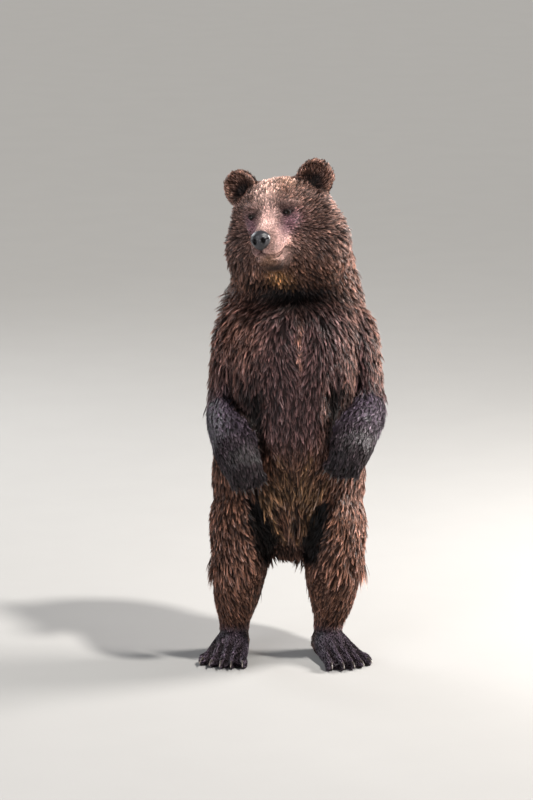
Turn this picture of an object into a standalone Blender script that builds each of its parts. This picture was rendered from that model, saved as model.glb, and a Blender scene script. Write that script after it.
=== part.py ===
"""A brown bear standing upright on its hind legs, life size, as a still model.

The bear faces -Y with +Z up, and stands on flat soles at z = 0. All lengths are in metres. The body is
fused from lofts and ellipsoids, smoothed, and then parted by thin cuts into the parts a person would name.
"""

import math
from typing import NamedTuple

import bmesh
import bpy
import numpy as np
from mathutils import Matrix, Vector
from mathutils.bvhtree import BVHTree

GAP = 0.0003
# Left is the bear's own left, at +X.
SIDES = {"left": 1, "right": -1}

# The great masses are fused and smoothed first, and then once more with the small forms on them.
MASS_VOXEL = 0.014
MASS_SMOOTHING = 12
DETAIL_VOXEL = 0.0075
DETAIL_SMOOTHING = 3
BODY_TRIANGLES = 2500
ARM_TRIANGLES = 460
SHRINK = 0.55
SWELL = -0.58

# The head's pose: where its centre is, and how far it turns, lifts and tilts.
HEAD_CENTRE = Vector((-0.030, -0.07, 1.741))
HEAD_TURN = math.radians(-18.3)
HEAD_LIFT = math.radians(-8.1)
HEAD_TILT = math.radians(-10.5)

EYE_RADIUS = 0.0135
EYE_DEPTH = 0.008
EYE_SPACING = 0.136
EYE_HEIGHT = -0.006

NOSE_CENTRE = Vector((0, -0.290, -0.098))
NOSE_RADII = Vector((0.038, 0.027, 0.036))

EAR_CENTRE = Vector((0.148, 0.008, 0.112))
EAR_RADII = Vector((0.073, 0.042, 0.074))
EAR_SPLAY = math.radians(24)
EAR_OPENING = math.radians(14)
EAR_CUP_RADII = Vector((0.046, 0.036, 0.050))
EAR_CUP_FORWARD = 0.033

TOES = 5
TOE_SPREAD = 0.30
TOE_SKEW = 0.006
CLAW_RINGS = 3
CLAW_SIDES = 5
CLAW_RADIUS = 0.0065
CLAW_BEND = math.radians(62)
CLAW_FLATNESS = 0.72
FOOT_CLAW_LENGTH = 0.034
PAW_CLAW_LENGTH = 0.036

NECK_TOP = 1.555
NECK_BASE = 1.395
CHEST_BASE = 0.99
BELLY_BASE = 0.72
HIP = 0.545
KNEE = 0.345
ANKLE = 0.115
MOUTH_HEIGHT = -0.160
MOUTH_CORNER = -0.150


class Ring(NamedTuple):
    """One section of a loft: its middle, and half its width and depth."""

    x: float
    y: float
    z: float
    width: float
    depth: float


class Foot(NamedTuple):
    """A hind foot's place: its ankle, and how far it is turned out."""

    x: float
    y: float
    turn: float


class Tone(NamedTuple):
    """A material's colour, roughness and name."""

    name: str
    colour: tuple
    roughness: float


BROWN_FUR = Tone("brown_fur", (0.085, 0.042, 0.026), 0.7)
BLACK_FUR = Tone("black_fur", (0.018, 0.014, 0.016), 0.55)
TAN_FUR = Tone("tan_fur", (0.24, 0.14, 0.085), 0.7)
HORN = Tone("horn", (0.20, 0.16, 0.12), 0.45)
LEATHER = Tone("leather", (0.020, 0.019, 0.022), 0.4)
EYE = Tone("eye", (0.012, 0.008, 0.006), 0.08)

TRUNK = (
    Ring(0.000, 0.080, 0.44, 0.110, 0.085),
    Ring(0.000, 0.075, 0.50, 0.200, 0.160),
    Ring(0.000, 0.055, 0.60, 0.284, 0.205),
    Ring(0.000, 0.025, 0.72, 0.303, 0.245),
    Ring(0.004, -0.010, 0.86, 0.286, 0.255),
    Ring(0.012, -0.018, 1.00, 0.266, 0.240),
    Ring(0.020, 0.000, 1.15, 0.272, 0.245),
    Ring(0.024, 0.030, 1.28, 0.276, 0.250),
    Ring(0.024, 0.048, 1.39, 0.256, 0.228),
    Ring(0.020, 0.042, 1.50, 0.236, 0.192),
    Ring(0.010, 0.020, 1.62, 0.212, 0.168),
    Ring(-0.005, 0.000, 1.70, 0.172, 0.125),
)
BELLY = (
    Ring(0.006, -0.085, 0.86, 0.190, 0.160),
    Ring(0.010, -0.105, 0.74, 0.165, 0.135),
    Ring(0.016, -0.115, 0.63, 0.105, 0.095),
    Ring(0.022, -0.120, 0.54, 0.050, 0.055),
)

# Each limb's sections for the bear's left side and its right side, from the root to the far end.
LEGS = {
    "left": (
        Ring(0.142, 0.040, 0.68, 0.120, 0.200),
        Ring(0.158, 0.010, 0.55, 0.142, 0.212),
        Ring(0.168, -0.020, 0.43, 0.130, 0.178),
        Ring(0.168, -0.020, 0.33, 0.112, 0.142),
        Ring(0.166, 0.015, 0.22, 0.088, 0.110),
        Ring(0.154, 0.040, 0.12, 0.060, 0.080),
        Ring(0.152, 0.030, 0.04, 0.056, 0.080),
    ),
    "right": (
        Ring(-0.142, 0.040, 0.68, 0.124, 0.200),
        Ring(-0.163, 0.010, 0.55, 0.146, 0.212),
        Ring(-0.178, -0.020, 0.43, 0.128, 0.178),
        Ring(-0.190, -0.020, 0.33, 0.108, 0.142),
        Ring(-0.204, 0.015, 0.22, 0.088, 0.110),
        Ring(-0.210, 0.040, 0.12, 0.060, 0.080),
        Ring(-0.210, 0.030, 0.04, 0.056, 0.080),
    ),
}

ARMS = {
    "left": (
        Ring(0.155, 0.025, 1.37, 0.090, 0.100),
        Ring(0.222, 0.010, 1.28, 0.108, 0.120),
        Ring(0.264, 0.010, 1.14, 0.094, 0.115),
        Ring(0.285, -0.010, 1.01, 0.084, 0.100),
        Ring(0.282, -0.100, 0.965, 0.084, 0.086),
        Ring(0.258, -0.195, 0.940, 0.084, 0.080),
        Ring(0.240, -0.262, 0.905, 0.083, 0.075),
        Ring(0.220, -0.292, 0.860, 0.078, 0.066),
        Ring(0.204, -0.303, 0.826, 0.064, 0.050),
    ),
    "right": (
        Ring(-0.110, 0.025, 1.37, 0.090, 0.100),
        Ring(-0.178, 0.010, 1.28, 0.104, 0.120),
        Ring(-0.214, 0.010, 1.14, 0.092, 0.115),
        Ring(-0.232, -0.010, 1.00, 0.082, 0.100),
        Ring(-0.232, -0.105, 0.945, 0.082, 0.086),
        Ring(-0.216, -0.205, 0.912, 0.084, 0.080),
        Ring(-0.200, -0.275, 0.872, 0.085, 0.075),
        Ring(-0.176, -0.305, 0.820, 0.079, 0.066),
        Ring(-0.160, -0.316, 0.786, 0.064, 0.050),
    ),
}

FEET = {
    "left": Foot(0.152, 0.010, math.radians(22)),
    "right": Foot(-0.210, 0.035, math.radians(-12)),
}
FOOT_HALF_WIDTH = 0.070
FOOT_LENGTH = 0.250
FOOT_TOE_BOW = 0.024
TOE_RADII = Vector((0.0205, 0.042, 0.028))
PAW_HALF_WIDTH = 0.053
PAW_TOE_BOW = 0.016
PAW_TOE_RADII = Vector((0.0205, 0.026, 0.034))

TAIL = (
    Ring(0, 0.225, 0.68, 0.050, 0.050),
    Ring(0, 0.268, 0.61, 0.046, 0.038),
    Ring(0, 0.280, 0.555, 0.032, 0.028),
    Ring(0, 0.276, 0.515, 0.013, 0.012),
)
SHEATH_TUFT = (
    Ring(0.018, -0.150, 0.64, 0.050, 0.045),
    Ring(0.024, -0.172, 0.57, 0.032, 0.030),
    Ring(0.030, -0.180, 0.50, 0.010, 0.010),
)


def head_matrix() -> Matrix:
    """The head's own frame: x to the bear's left, -y forwards, z up, from the middle of the skull."""
    turn = Matrix.Rotation(HEAD_TURN, 4, "Z")
    lift = Matrix.Rotation(HEAD_LIFT, 4, "X")
    tilt = Matrix.Rotation(HEAD_TILT, 4, "Y")
    return Matrix.Translation(HEAD_CENTRE) @ turn @ lift @ tilt


def clear_scene():
    for item in list(bpy.data.objects):
        bpy.data.objects.remove(item)


def linked(name: str, mesh: bpy.types.Mesh) -> bpy.types.Object:
    item = bpy.data.objects.new(name, mesh)
    bpy.context.scene.collection.objects.link(item)
    return item


def object_from(name: str, form: bmesh.types.BMesh) -> bpy.types.Object:
    """A new object holding the form, which is freed."""
    bmesh.ops.recalc_face_normals(form, faces=form.faces)
    mesh = bpy.data.meshes.new(name)
    form.to_mesh(mesh)
    form.free()
    return linked(name, mesh)


def ellipsoid(centre, radii, turn=None, rings=18, segments=28) -> bpy.types.Object:
    """A solid ellipsoid with its own axes turned by the 4 x 4 matrix turn."""
    form = bmesh.new()
    placed = Matrix.Translation(centre) @ (turn or Matrix()) @ Matrix.Diagonal((*radii, 1))
    bmesh.ops.create_uvsphere(form, u_segments=segments, v_segments=rings, radius=1, matrix=placed)
    return object_from("ellipsoid", form)


def spline(rows: np.ndarray, steps: int) -> np.ndarray:
    """A Catmull-Rom curve through the rows, with so many steps from each row to the next."""
    ends = np.vstack([2 * rows[0] - rows[1], rows, 2 * rows[-1] - rows[-2]])
    curve = []
    for before, start, end, after in zip(ends, ends[1:], ends[2:], ends[3:]):
        for step in np.arange(steps) / steps:
            bend = 2 * before - 5 * start + 4 * end - after
            twist = 3 * start - before - 3 * end + after
            curve.append(start + 0.5 * step * (end - before + step * (bend + step * twist)))
    curve.append(rows[-1])
    return np.array(curve)


def loft(sections, side=(1, 0, 0), steps=4, segments=24) -> bpy.types.Object:
    """A solid through the sections, each an ellipse with its width along side, and with domed ends."""
    rows = spline(np.array(sections, float), steps)
    centres, radii = rows[:, :3], rows[:, 3:]
    tangents = np.gradient(centres, axis=0)
    tangents /= np.linalg.norm(tangents, axis=1, keepdims=True)
    dome = np.radians([75, 50, 25])[:, None]
    start = centres[0] - tangents[0] * radii[0].min() * np.sin(dome)
    finish = centres[-1] + tangents[-1] * radii[-1].min() * np.sin(dome[::-1])
    centres = np.vstack([start, centres, finish])
    radii = np.vstack([radii[0] * np.cos(dome), radii, radii[-1] * np.cos(dome[::-1])])
    tangents = np.vstack([[tangents[0]] * len(dome), tangents, [tangents[-1]] * len(dome)])
    form = bmesh.new()
    loops = []
    for centre, (width, depth), tangent in zip(centres, radii, tangents):
        across = np.array(side, float)
        across -= tangent * across.dot(tangent)
        across /= np.linalg.norm(across)
        through = np.cross(tangent, across)
        loop = []
        for angle in np.arange(segments) * 2 * math.pi / segments:
            offset = across * width * math.cos(angle) + through * depth * math.sin(angle)
            loop.append(form.verts.new(centre + offset))
        loops.append(loop)
    for lower, upper in zip(loops, loops[1:]):
        for i in range(segments):
            j = (i + 1) % segments
            form.faces.new((lower[i], lower[j], upper[j], upper[i]))
    form.faces.new(loops[0][::-1])
    form.faces.new(loops[-1])
    return object_from("loft", form)


def tree_of(item: bpy.types.Object) -> BVHTree:
    points = [vertex.co for vertex in item.data.vertices]
    return BVHTree.FromPolygons(points, [tuple(face.vertices) for face in item.data.polygons])


def evaluated(item: bpy.types.Object) -> bpy.types.Mesh:
    """The item's mesh with its modifiers applied; the item is removed."""
    graph = bpy.context.evaluated_depsgraph_get()
    mesh = bpy.data.meshes.new_from_object(item.evaluated_get(graph))
    bpy.data.objects.remove(item)
    return mesh


def joined(name: str, items) -> bpy.types.Object:
    """One object holding all the items' meshes, where they are."""
    form = bmesh.new()
    for item in items:
        form.from_mesh(item.data)
        bpy.data.objects.remove(item)
    mesh = bpy.data.meshes.new(name)
    form.to_mesh(mesh)
    form.free()
    return linked(name, mesh)


def smoothed(mesh: bpy.types.Mesh, rounds: int):
    """Taubin smoothing: each round shrinks the surface a little and then swells it back, so size is kept."""
    count = len(mesh.vertices)
    points = np.empty(count * 3)
    mesh.vertices.foreach_get("co", points)
    points = points.reshape(-1, 3)
    edges = np.empty(len(mesh.edges) * 2, int)
    mesh.edges.foreach_get("vertices", edges)
    edges = edges.reshape(-1, 2)
    degree = np.bincount(edges.ravel(), minlength=count)[:, None]
    for weight in (SHRINK, SWELL) * rounds:
        total = np.zeros_like(points)
        for axis in range(3):
            total[:, axis] = np.bincount(edges[:, 0], points[edges[:, 1], axis], count)
            total[:, axis] += np.bincount(edges[:, 1], points[edges[:, 0], axis], count)
        points += weight * (total / degree - points)
    mesh.vertices.foreach_set("co", points.ravel())
    mesh.update()


def fused(name: str, items, voxel: float, rounds: int) -> bpy.types.Object:
    """The items' union as one smooth skin."""
    item = joined(name, items)
    remesh = item.modifiers.new("fuse", "REMESH")
    remesh.mode = "VOXEL"
    remesh.voxel_size = voxel
    mesh = evaluated(item)
    smoothed(mesh, rounds)
    return linked(name, mesh)


def reduced(item: bpy.types.Object, triangles: int) -> bpy.types.Object:
    name = item.name
    now = sum(len(face.vertices) - 2 for face in item.data.polygons)
    modifier = item.modifiers.new("reduce", "DECIMATE")
    modifier.ratio = triangles / now
    modifier.use_collapse_triangulate = True
    return linked(name, evaluated(item))


def differed(item: bpy.types.Object, cutters) -> bpy.types.Object:
    """The item less the cutters, which are removed with it."""
    name = item.name
    for cutter in cutters:
        modifier = item.modifiers.new("cut", "BOOLEAN")
        modifier.operation = "DIFFERENCE"
        modifier.solver = "EXACT"
        modifier.object = cutter
    mesh = evaluated(item)
    for cutter in cutters:
        bpy.data.objects.remove(cutter)
    return linked(name, mesh)


def slab(centre, normal, half_width: float, half_depth=None, across=(1, 0, 0)) -> bpy.types.Object:
    """A cut one gap thick: a thin plate across the normal, with its width along across."""
    form = bmesh.new()
    normal = Vector(normal).normalized()
    width_axis = Vector(across)
    width_axis = (width_axis - normal * width_axis.dot(normal)).normalized()
    turn = Matrix((width_axis, normal.cross(width_axis), normal)).transposed().to_4x4()
    size = Matrix.Diagonal((2 * half_width, 2 * (half_depth or half_width), GAP, 1))
    bmesh.ops.create_cube(form, size=1, matrix=Matrix.Translation(centre) @ turn @ size)
    return object_from("slab", form)


def box(low, high) -> bpy.types.Object:
    form = bmesh.new()
    low, high = Vector(low), Vector(high)
    placed = Matrix.Translation((low + high) / 2) @ Matrix.Diagonal((*(high - low), 1))
    bmesh.ops.create_cube(form, size=1, matrix=placed)
    return object_from("box", form)


def grown(item: bpy.types.Object, by: float) -> bpy.types.Object:
    """A copy of the item with its surface moved outwards."""
    copy = linked(f"{item.name}_grown", item.data.copy())
    for vertex, source in zip(copy.data.vertices, item.data.vertices):
        vertex.co = source.co + source.normal * by
    return copy


def pieces_of(item: bpy.types.Object):
    """The item's separate bodies, each as its own object."""
    form = bmesh.new()
    form.from_mesh(item.data)
    form.verts.ensure_lookup_table()
    left = set(form.verts)
    bodies = []
    while left:
        frontier = [left.pop()]
        body = set(frontier)
        while frontier:
            for edge in frontier.pop().link_edges:
                for vertex in edge.verts:
                    if vertex in left:
                        left.discard(vertex)
                        body.add(vertex)
                        frontier.append(vertex)
        bodies.append(sorted(v.index for v in body))
    form.free()
    points = np.array([v.co for v in item.data.vertices])
    faces = [tuple(face.vertices) for face in item.data.polygons]
    made = []
    for body in bodies:
        place = {index: i for i, index in enumerate(body)}
        mesh = bpy.data.meshes.new("piece")
        kept = [tuple(place[i] for i in face) for face in faces if face[0] in place]
        mesh.from_pydata(points[body].tolist(), [], kept)
        made.append(linked("piece", mesh))
    bpy.data.objects.remove(item)
    return made


def inside(item: bpy.types.Object, point) -> bool:
    """Whether the point is inside the item, by counting the surfaces above it."""
    tree = tree_of(item)
    start = Vector(point)
    direction = Vector((0.013, 0.027, 1)).normalized()
    crossings = 0
    while True:
        hit = tree.ray_cast(start, direction)[0]
        if hit is None:
            return crossings % 2 == 1
        crossings += 1
        start = hit + direction * 1e-5


def dress(item: bpy.types.Object, tone: Tone):
    material = bpy.data.materials.new(f"{item.name}_{tone.name}")
    material.use_nodes = True
    shader = material.node_tree.nodes["Principled BSDF"]
    shader.inputs["Base Color"].default_value = (*tone.colour, 1)
    shader.inputs["Roughness"].default_value = tone.roughness
    shader.inputs["Metallic"].default_value = 0
    material.diffuse_color = (*tone.colour, 1)
    item.data.materials.clear()
    item.data.materials.append(material)
    item.data.shade_smooth()
    item.data.set_sharp_from_angle(angle=math.radians(40))


def head_masses(frame: Matrix):
    """The skull, the throat, the face, the cheeks' ruff and the temples, in the head's frame."""
    turn = frame.to_3x3().to_4x4()
    yield ellipsoid(frame @ Vector((0, 0.005, 0.005)), (0.168, 0.160, 0.135), turn)
    yield ellipsoid(frame @ Vector((0, 0.000, -0.145)), (0.170, 0.145, 0.125), turn)
    yield ellipsoid(frame @ Vector((0, -0.085, -0.045)), (0.115, 0.100, 0.085), turn)
    for side in SIDES.values():
        yield ellipsoid(frame @ Vector((side * 0.118, 0.032, -0.124)), (0.126, 0.130, 0.172), turn)
        yield ellipsoid(frame @ Vector((side * 0.104, 0.018, -0.006)), (0.098, 0.110, 0.098), turn)


def muzzle_forms(frame: Matrix):
    """The muzzle, the chin and the brows."""
    turn = frame.to_3x3().to_4x4()
    across = frame.to_3x3() @ Vector((1, 0, 0))
    bridge = (
        Ring(0, -0.110, -0.062, 0.088, 0.078),
        Ring(0, -0.170, -0.092, 0.072, 0.067),
        Ring(0, -0.225, -0.112, 0.060, 0.058),
        Ring(0, -0.257, -0.120, 0.050, 0.050),
    )
    chin = (
        Ring(0, -0.100, -0.160, 0.080, 0.062),
        Ring(0, -0.165, -0.175, 0.062, 0.048),
        Ring(0, -0.228, -0.175, 0.044, 0.034),
    )
    for sections in (bridge, chin):
        placed = [Ring(*(frame @ Vector(ring[:3])), ring.width, ring.depth) for ring in sections]
        yield loft(placed, side=across, steps=3)
    for side in SIDES.values():
        yield ellipsoid(frame @ Vector((side * 0.064, -0.118, 0.024)), (0.050, 0.040, 0.028), turn)


def ear_form(frame: Matrix, side: int) -> bpy.types.Object:
    """A round ear, cupped in front."""
    turn = frame.to_3x3().to_4x4()
    splay = turn @ Matrix.Rotation(side * EAR_SPLAY, 4, "Y") @ Matrix.Rotation(side * EAR_OPENING, 4, "Z")
    centre = Vector((side * EAR_CENTRE.x, EAR_CENTRE.y, EAR_CENTRE.z))
    ear = ellipsoid(frame @ centre, EAR_RADII, splay)
    cup_centre = centre + Vector((side * 0.006, -EAR_CUP_FORWARD, 0.006))
    cup = ellipsoid(frame @ cup_centre, EAR_CUP_RADII, splay)
    return differed(ear, [cup])


def foot_frame(side: str) -> Matrix:
    """A hind foot's frame on the ground under its ankle, with -y along the foot."""
    foot = FEET[side]
    return Matrix.Translation((foot.x, foot.y, 0)) @ Matrix.Rotation(foot.turn, 4, "Z")


def toe_spots(side: int, half_width: float, bow: float):
    """Each toe's place across the foot, how far it falls back from the front, and its turn outwards."""
    for toe in range(TOES):
        share = 2 * toe / (TOES - 1) - 1
        yield share * half_width, bow * share**2 + TOE_SKEW * side * share, TOE_SPREAD * share


def foot_forms(side: str):
    """A hind foot: heel, instep, ball and five toes, reaching a little below the ground it is cut at."""
    frame = foot_frame(side)
    turn = frame.to_3x3().to_4x4()
    across = frame.to_3x3() @ Vector((1, 0, 0))
    instep = (
        Ring(0, 0.045, 0.040, 0.052, 0.055),
        Ring(0, 0.000, 0.052, 0.060, 0.070),
        Ring(0, -0.085, 0.040, 1.09 * FOOT_HALF_WIDTH, 0.060),
        Ring(0, -0.165, 0.026, 1.23 * FOOT_HALF_WIDTH, 0.040),
    )
    placed = [Ring(*(frame @ Vector(ring[:3])), ring.width, ring.depth) for ring in instep]
    yield loft(placed, side=across, steps=3)
    for x, lag, spread in toe_spots(SIDES[side], 1.1 * FOOT_HALF_WIDTH, FOOT_TOE_BOW):
        place = Vector((x, TOE_RADII.y - FOOT_LENGTH + lag, 0.022))
        splay = turn @ Matrix.Rotation(spread, 4, "Z")
        yield ellipsoid(frame @ place, TOE_RADII, splay, 12, 16)


def paw_frame(side: str) -> Matrix:
    """A forepaw's frame at its middle: x across it, -y out of its back, -z towards the toes."""
    wrist, middle, tip = (Vector(ring[:3]) for ring in ARMS[side][-3:])
    down = (tip - wrist).normalized()
    across = Vector((1, 0, 0))
    across = (across - down * across.dot(down)).normalized()
    back = (-down).cross(across)
    axes = Matrix((across, back, -down)).transposed()
    return Matrix.Translation(tip) @ axes.to_4x4()


def paw_forms(side: str):
    """The toes of a hanging forepaw."""
    frame = paw_frame(side)
    turn = frame.to_3x3().to_4x4()
    for x, lag, spread in toe_spots(SIDES[side], PAW_HALF_WIDTH, PAW_TOE_BOW):
        place = Vector((x, 0.002, lag - 0.026))
        yield ellipsoid(frame @ place, PAW_TOE_RADII, turn @ Matrix.Rotation(-spread, 4, "Y"), 12, 16)


def claw(root: Vector, forward: Vector, down: Vector, length: float, by=0.0) -> bpy.types.Object:
    """A tapering claw from its root, starting forward and bending down."""
    across = forward.cross(down).normalized()
    arc = length / CLAW_BEND
    form = bmesh.new()
    loops = []

    def along(angle: float) -> Vector:
        return root + forward * arc * math.sin(angle) + down * arc * (1 - math.cos(angle))

    for ring in range(CLAW_RINGS):
        share = ring / CLAW_RINGS
        angle = CLAW_BEND * share
        lift = across.cross(forward * math.cos(angle) + down * math.sin(angle))
        size = CLAW_RADIUS * (1 - share) ** 0.7 + by
        loop = []
        for turn in np.arange(CLAW_SIDES) * 2 * math.pi / CLAW_SIDES:
            offset = across * CLAW_FLATNESS * math.cos(turn) + lift * math.sin(turn)
            loop.append(form.verts.new(along(angle) + offset * size))
        loops.append(loop)
    tip = form.verts.new(along(CLAW_BEND))
    for lower, upper in zip(loops, loops[1:]):
        for i in range(CLAW_SIDES):
            j = (i + 1) % CLAW_SIDES
            form.faces.new((lower[i], lower[j], upper[j], upper[i]))
    for i in range(CLAW_SIDES):
        form.faces.new((loops[-1][i], loops[-1][(i + 1) % CLAW_SIDES], tip))
    form.faces.new(loops[0][::-1])
    return object_from("claw", form)


def nose_form(frame: Matrix, by=0.0) -> bpy.types.Object:
    """The nose's leather, at the front of the muzzle."""
    turn = frame.to_3x3().to_4x4()
    return ellipsoid(frame @ NOSE_CENTRE, NOSE_RADII + Vector((by, by, by)), turn, 8, 12)


def eye_centres(frame: Matrix, body: bpy.types.Object):
    """Each eye's centre, set into the face under the brow."""
    tree = tree_of(body)
    back = (frame.to_3x3() @ Vector((0, 1, 0))).normalized()
    for side in SIDES.values():
        start = frame @ Vector((side * EYE_SPACING / 2, -0.5, EYE_HEIGHT))
        yield tree.ray_cast(start, back)[0] + back * EYE_DEPTH


def eyeball(centre: Vector, by=0.0) -> bpy.types.Object:
    radius = EYE_RADIUS + by
    return ellipsoid(centre, (radius, radius, radius), None, 6, 10)


def foot_claws(side: str, by=0.0):
    """The five claws of a hind foot, just clear of the ground."""
    frame = foot_frame(side)
    turn = frame.to_3x3()
    for x, lag, spread in toe_spots(SIDES[side], 1.1 * FOOT_HALF_WIDTH, FOOT_TOE_BOW):
        forward = turn @ Matrix.Rotation(spread, 3, "Z") @ Vector((0, -1, 0.10)).normalized()
        root = frame @ Vector((x, 0.012 - FOOT_LENGTH + lag, 0.030))
        down = (Vector((0, 0, -1)) + forward * forward.z).normalized()
        yield claw(root, forward, down, FOOT_CLAW_LENGTH, by)


def paw_claws(side: str, by=0.0):
    """The five claws of a forepaw, which hang down and curl back."""
    frame = paw_frame(side)
    turn = frame.to_3x3()
    for x, lag, spread in toe_spots(SIDES[side], PAW_HALF_WIDTH, PAW_TOE_BOW):
        forward = turn @ Matrix.Rotation(-spread, 3, "Y") @ Vector((0, 0.05, -1)).normalized()
        root = frame @ Vector((x, 0.002, lag - 0.048))
        back = turn @ Vector((0, 1, 0))
        down = (back - forward * back.dot(forward)).normalized()
        yield claw(root, forward, down, PAW_CLAW_LENGTH, by)


def body_cuts(frame: Matrix):
    """The cuts that part the body: neck, chest, belly, legs, tail, ears and jaw."""
    turn = frame.to_3x3()
    across = turn @ Vector((1, 0, 0))
    yield slab((0, 0.03, NECK_TOP), (0, -0.42, 0.91), 0.42)
    yield slab((0, 0.03, NECK_BASE), (0, -0.20, 0.98), 0.42)
    yield slab((0, 0, CHEST_BASE), (0, 0, 1), 0.45)
    yield slab((0, 0, BELLY_BASE), (0, 0.10, 0.995), 0.45)
    yield slab((0, 0.2675, 0.605), (0, 0.974, -0.227), 0.10)
    mouth_middle = Vector((0, MOUTH_CORNER - 0.0875, MOUTH_HEIGHT))
    jaw_back = Vector((0, MOUTH_CORNER, MOUTH_HEIGHT - 0.040))
    yield slab(frame @ mouth_middle, turn @ Vector((0, 0, 1)), 0.10, 0.0875, across)
    yield slab(frame @ jaw_back, turn @ Vector((0, 1, 0)), 0.10, 0.040, across)
    yield slab((0, 0.02, HIP - 0.105), (1, 0, 0), 0.26, 0.12, across=(0, 1, 0))
    for side, sign in SIDES.items():
        base = Vector((sign * (EAR_CENTRE.x - 0.023), EAR_CENTRE.y, EAR_CENTRE.z - 0.026))
        yield slab(frame @ base, turn @ Vector((sign * 0.56, 0, 0.83)), 0.110, 0.095)
        yield slab((sign * 0.17, 0.02, HIP), (sign * -0.42, -0.10, 0.90), 0.30)
        knee = LEGS[side][2]
        ankle = LEGS[side][5]
        yield slab((knee.x, knee.y, KNEE), (0, 0.12, 0.99), 0.15, 0.22)
        yield slab((ankle.x, ankle.y, ANKLE), (0, 0.12, 0.99), 0.105, 0.16)


def arm_cuts(side: str):
    """The cuts at the elbow and the wrist."""
    elbow, hand, wrist = (Vector(ARMS[side][i][:3]) for i in (3, 5, 6))
    yield slab(elbow, (0, -0.60, -0.80), 0.20)
    yield slab(hand.lerp(wrist, 0.6), wrist - hand, 0.13)


def named(pieces, seeds) -> dict:
    """Each seed's name with the piece that the seed's point lies inside."""
    found = {}
    for name, point in seeds.items():
        found[name] = next(piece for piece in pieces if inside(piece, point))
    return found


def body_seeds(frame: Matrix) -> dict:
    """A point inside each part of the body."""
    seeds = {
        "head": frame @ Vector((0, 0, 0)),
        "lower_jaw": frame @ Vector((0, -0.215, -0.180)),
        "neck": (0, 0.03, 1.46),
        "chest": (0, 0, 1.2),
        "belly": (0, 0, 0.85),
        "hindquarters": (0, 0.05, 0.64),
        "tail": (0, 0.290, 0.57),
    }
    for side, sign in SIDES.items():
        tip = Vector((sign * (EAR_CENTRE.x + 0.020), EAR_CENTRE.y + 0.020, EAR_CENTRE.z + 0.030))
        seeds[f"{side}_ear"] = frame @ tip
        seeds[f"{side}_thigh"] = LEGS[side][2][:3]
        seeds[f"{side}_shank"] = LEGS[side][4][:3]
        seeds[f"{side}_hind_foot"] = foot_frame(side) @ Vector((0, -0.08, 0.03))
    return seeds


def whole_body(frame: Matrix) -> bpy.types.Object:
    """The body without its arms, as one skin."""
    masses = [loft(TRUNK, segments=32), loft(BELLY)]
    masses += [loft(LEGS[side]) for side in SIDES]
    masses += head_masses(frame)
    body = fused("body", masses, MASS_VOXEL, MASS_SMOOTHING)
    details = [body, loft(TAIL, segments=14), loft(SHEATH_TUFT, segments=14)]
    details += muzzle_forms(frame)
    details += [ear_form(frame, side) for side in SIDES.values()]
    for side in SIDES:
        details += foot_forms(side)
    return reduced(fused("body", details, DETAIL_VOXEL, DETAIL_SMOOTHING), BODY_TRIANGLES)


def whole_arm(side: str) -> bpy.types.Object:
    arm = fused(f"{side}_arm", [loft(ARMS[side]), *paw_forms(side)], DETAIL_VOXEL, DETAIL_SMOOTHING)
    return reduced(arm, ARM_TRIANGLES)


def arm_parts(side: str, arm: bpy.types.Object) -> dict:
    arm = differed(arm, [*arm_cuts(side), *paw_claws(side, GAP)])
    upper, lower, paw = (ARMS[side][i][:3] for i in (1, 4, 7))
    seeds = {f"{side}_upper_arm": upper, f"{side}_forearm": lower, f"{side}_forepaw": paw}
    return named(pieces_of(arm), seeds)


def body_parts(frame: Matrix, body: bpy.types.Object, eyes: list) -> dict:
    """The body parted, flat under its feet, and hollowed for its nose, eyes and claws."""
    ground = box((-1, -1, -0.2), (1, 1, 0))
    cutters = [ground, nose_form(frame, GAP), *body_cuts(frame)]
    cutters += [eyeball(centre, GAP) for centre in eyes]
    for side in SIDES:
        cutters += foot_claws(side, GAP)
    return named(pieces_of(differed(body, cutters)), body_seeds(frame))


def tone_of(name: str) -> Tone:
    """The finish that a part's name asks for."""
    tones = {"claw": HORN, "eye": EYE, "nose": LEATHER, "jaw": TAN_FUR}
    tones.update({"forearm": BLACK_FUR, "forepaw": BLACK_FUR, "hind_foot": BLACK_FUR})
    return next((tone for word, tone in tones.items() if word in name), BROWN_FUR)


def centre_on_origin(parts: dict) -> Vector:
    """Moves every part so that the origin is under the middle of the whole, on the ground."""
    corners = np.array([v.co for item in parts.values() for v in item.data.vertices])
    middle = (corners.min(axis=0) + corners.max(axis=0)) / 2
    shift = Vector((-middle[0], -middle[1], 0))
    for item in parts.values():
        item.data.transform(Matrix.Translation(shift))
    return shift


def build() -> Vector:
    """Builds the bear, and returns how far it was moved to stand on the origin."""
    clear_scene()
    frame = head_matrix()
    body = whole_body(frame)
    parts = {}
    for side in SIDES:
        arm = whole_arm(side)
        body = differed(body, [grown(arm, GAP)])
        parts.update(arm_parts(side, arm))
    eyes = list(eye_centres(frame, body))
    parts.update(body_parts(frame, body, eyes))
    parts["nose"] = nose_form(frame)
    for side, centre in zip(SIDES, eyes):
        parts[f"{side}_eye"] = eyeball(centre)
        for toe, item in enumerate(foot_claws(side), 1):
            parts[f"{side}_hind_claw_{toe}"] = item
        for toe, item in enumerate(paw_claws(side), 1):
            parts[f"{side}_fore_claw_{toe}"] = item
    for name, item in parts.items():
        item.name = name
        dress(item, tone_of(name))
    return centre_on_origin(parts)


if __name__ == "__main__":
    build()
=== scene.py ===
"""The looks of a brown bear that stands on its hind legs: skin, coat, eyes, nose and claws.

The bear faces -Y with +Z up, and its own left is +X. All lengths are in metres.
"""

import logging
import math
from dataclasses import dataclass
from enum import Enum
from typing import Any, Callable, NamedTuple, Sequence

import bmesh
import bpy
import numpy as np
from mathutils import Matrix, Vector
from mathutils.bvhtree import BVHTree
from mathutils.kdtree import KDTree


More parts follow.
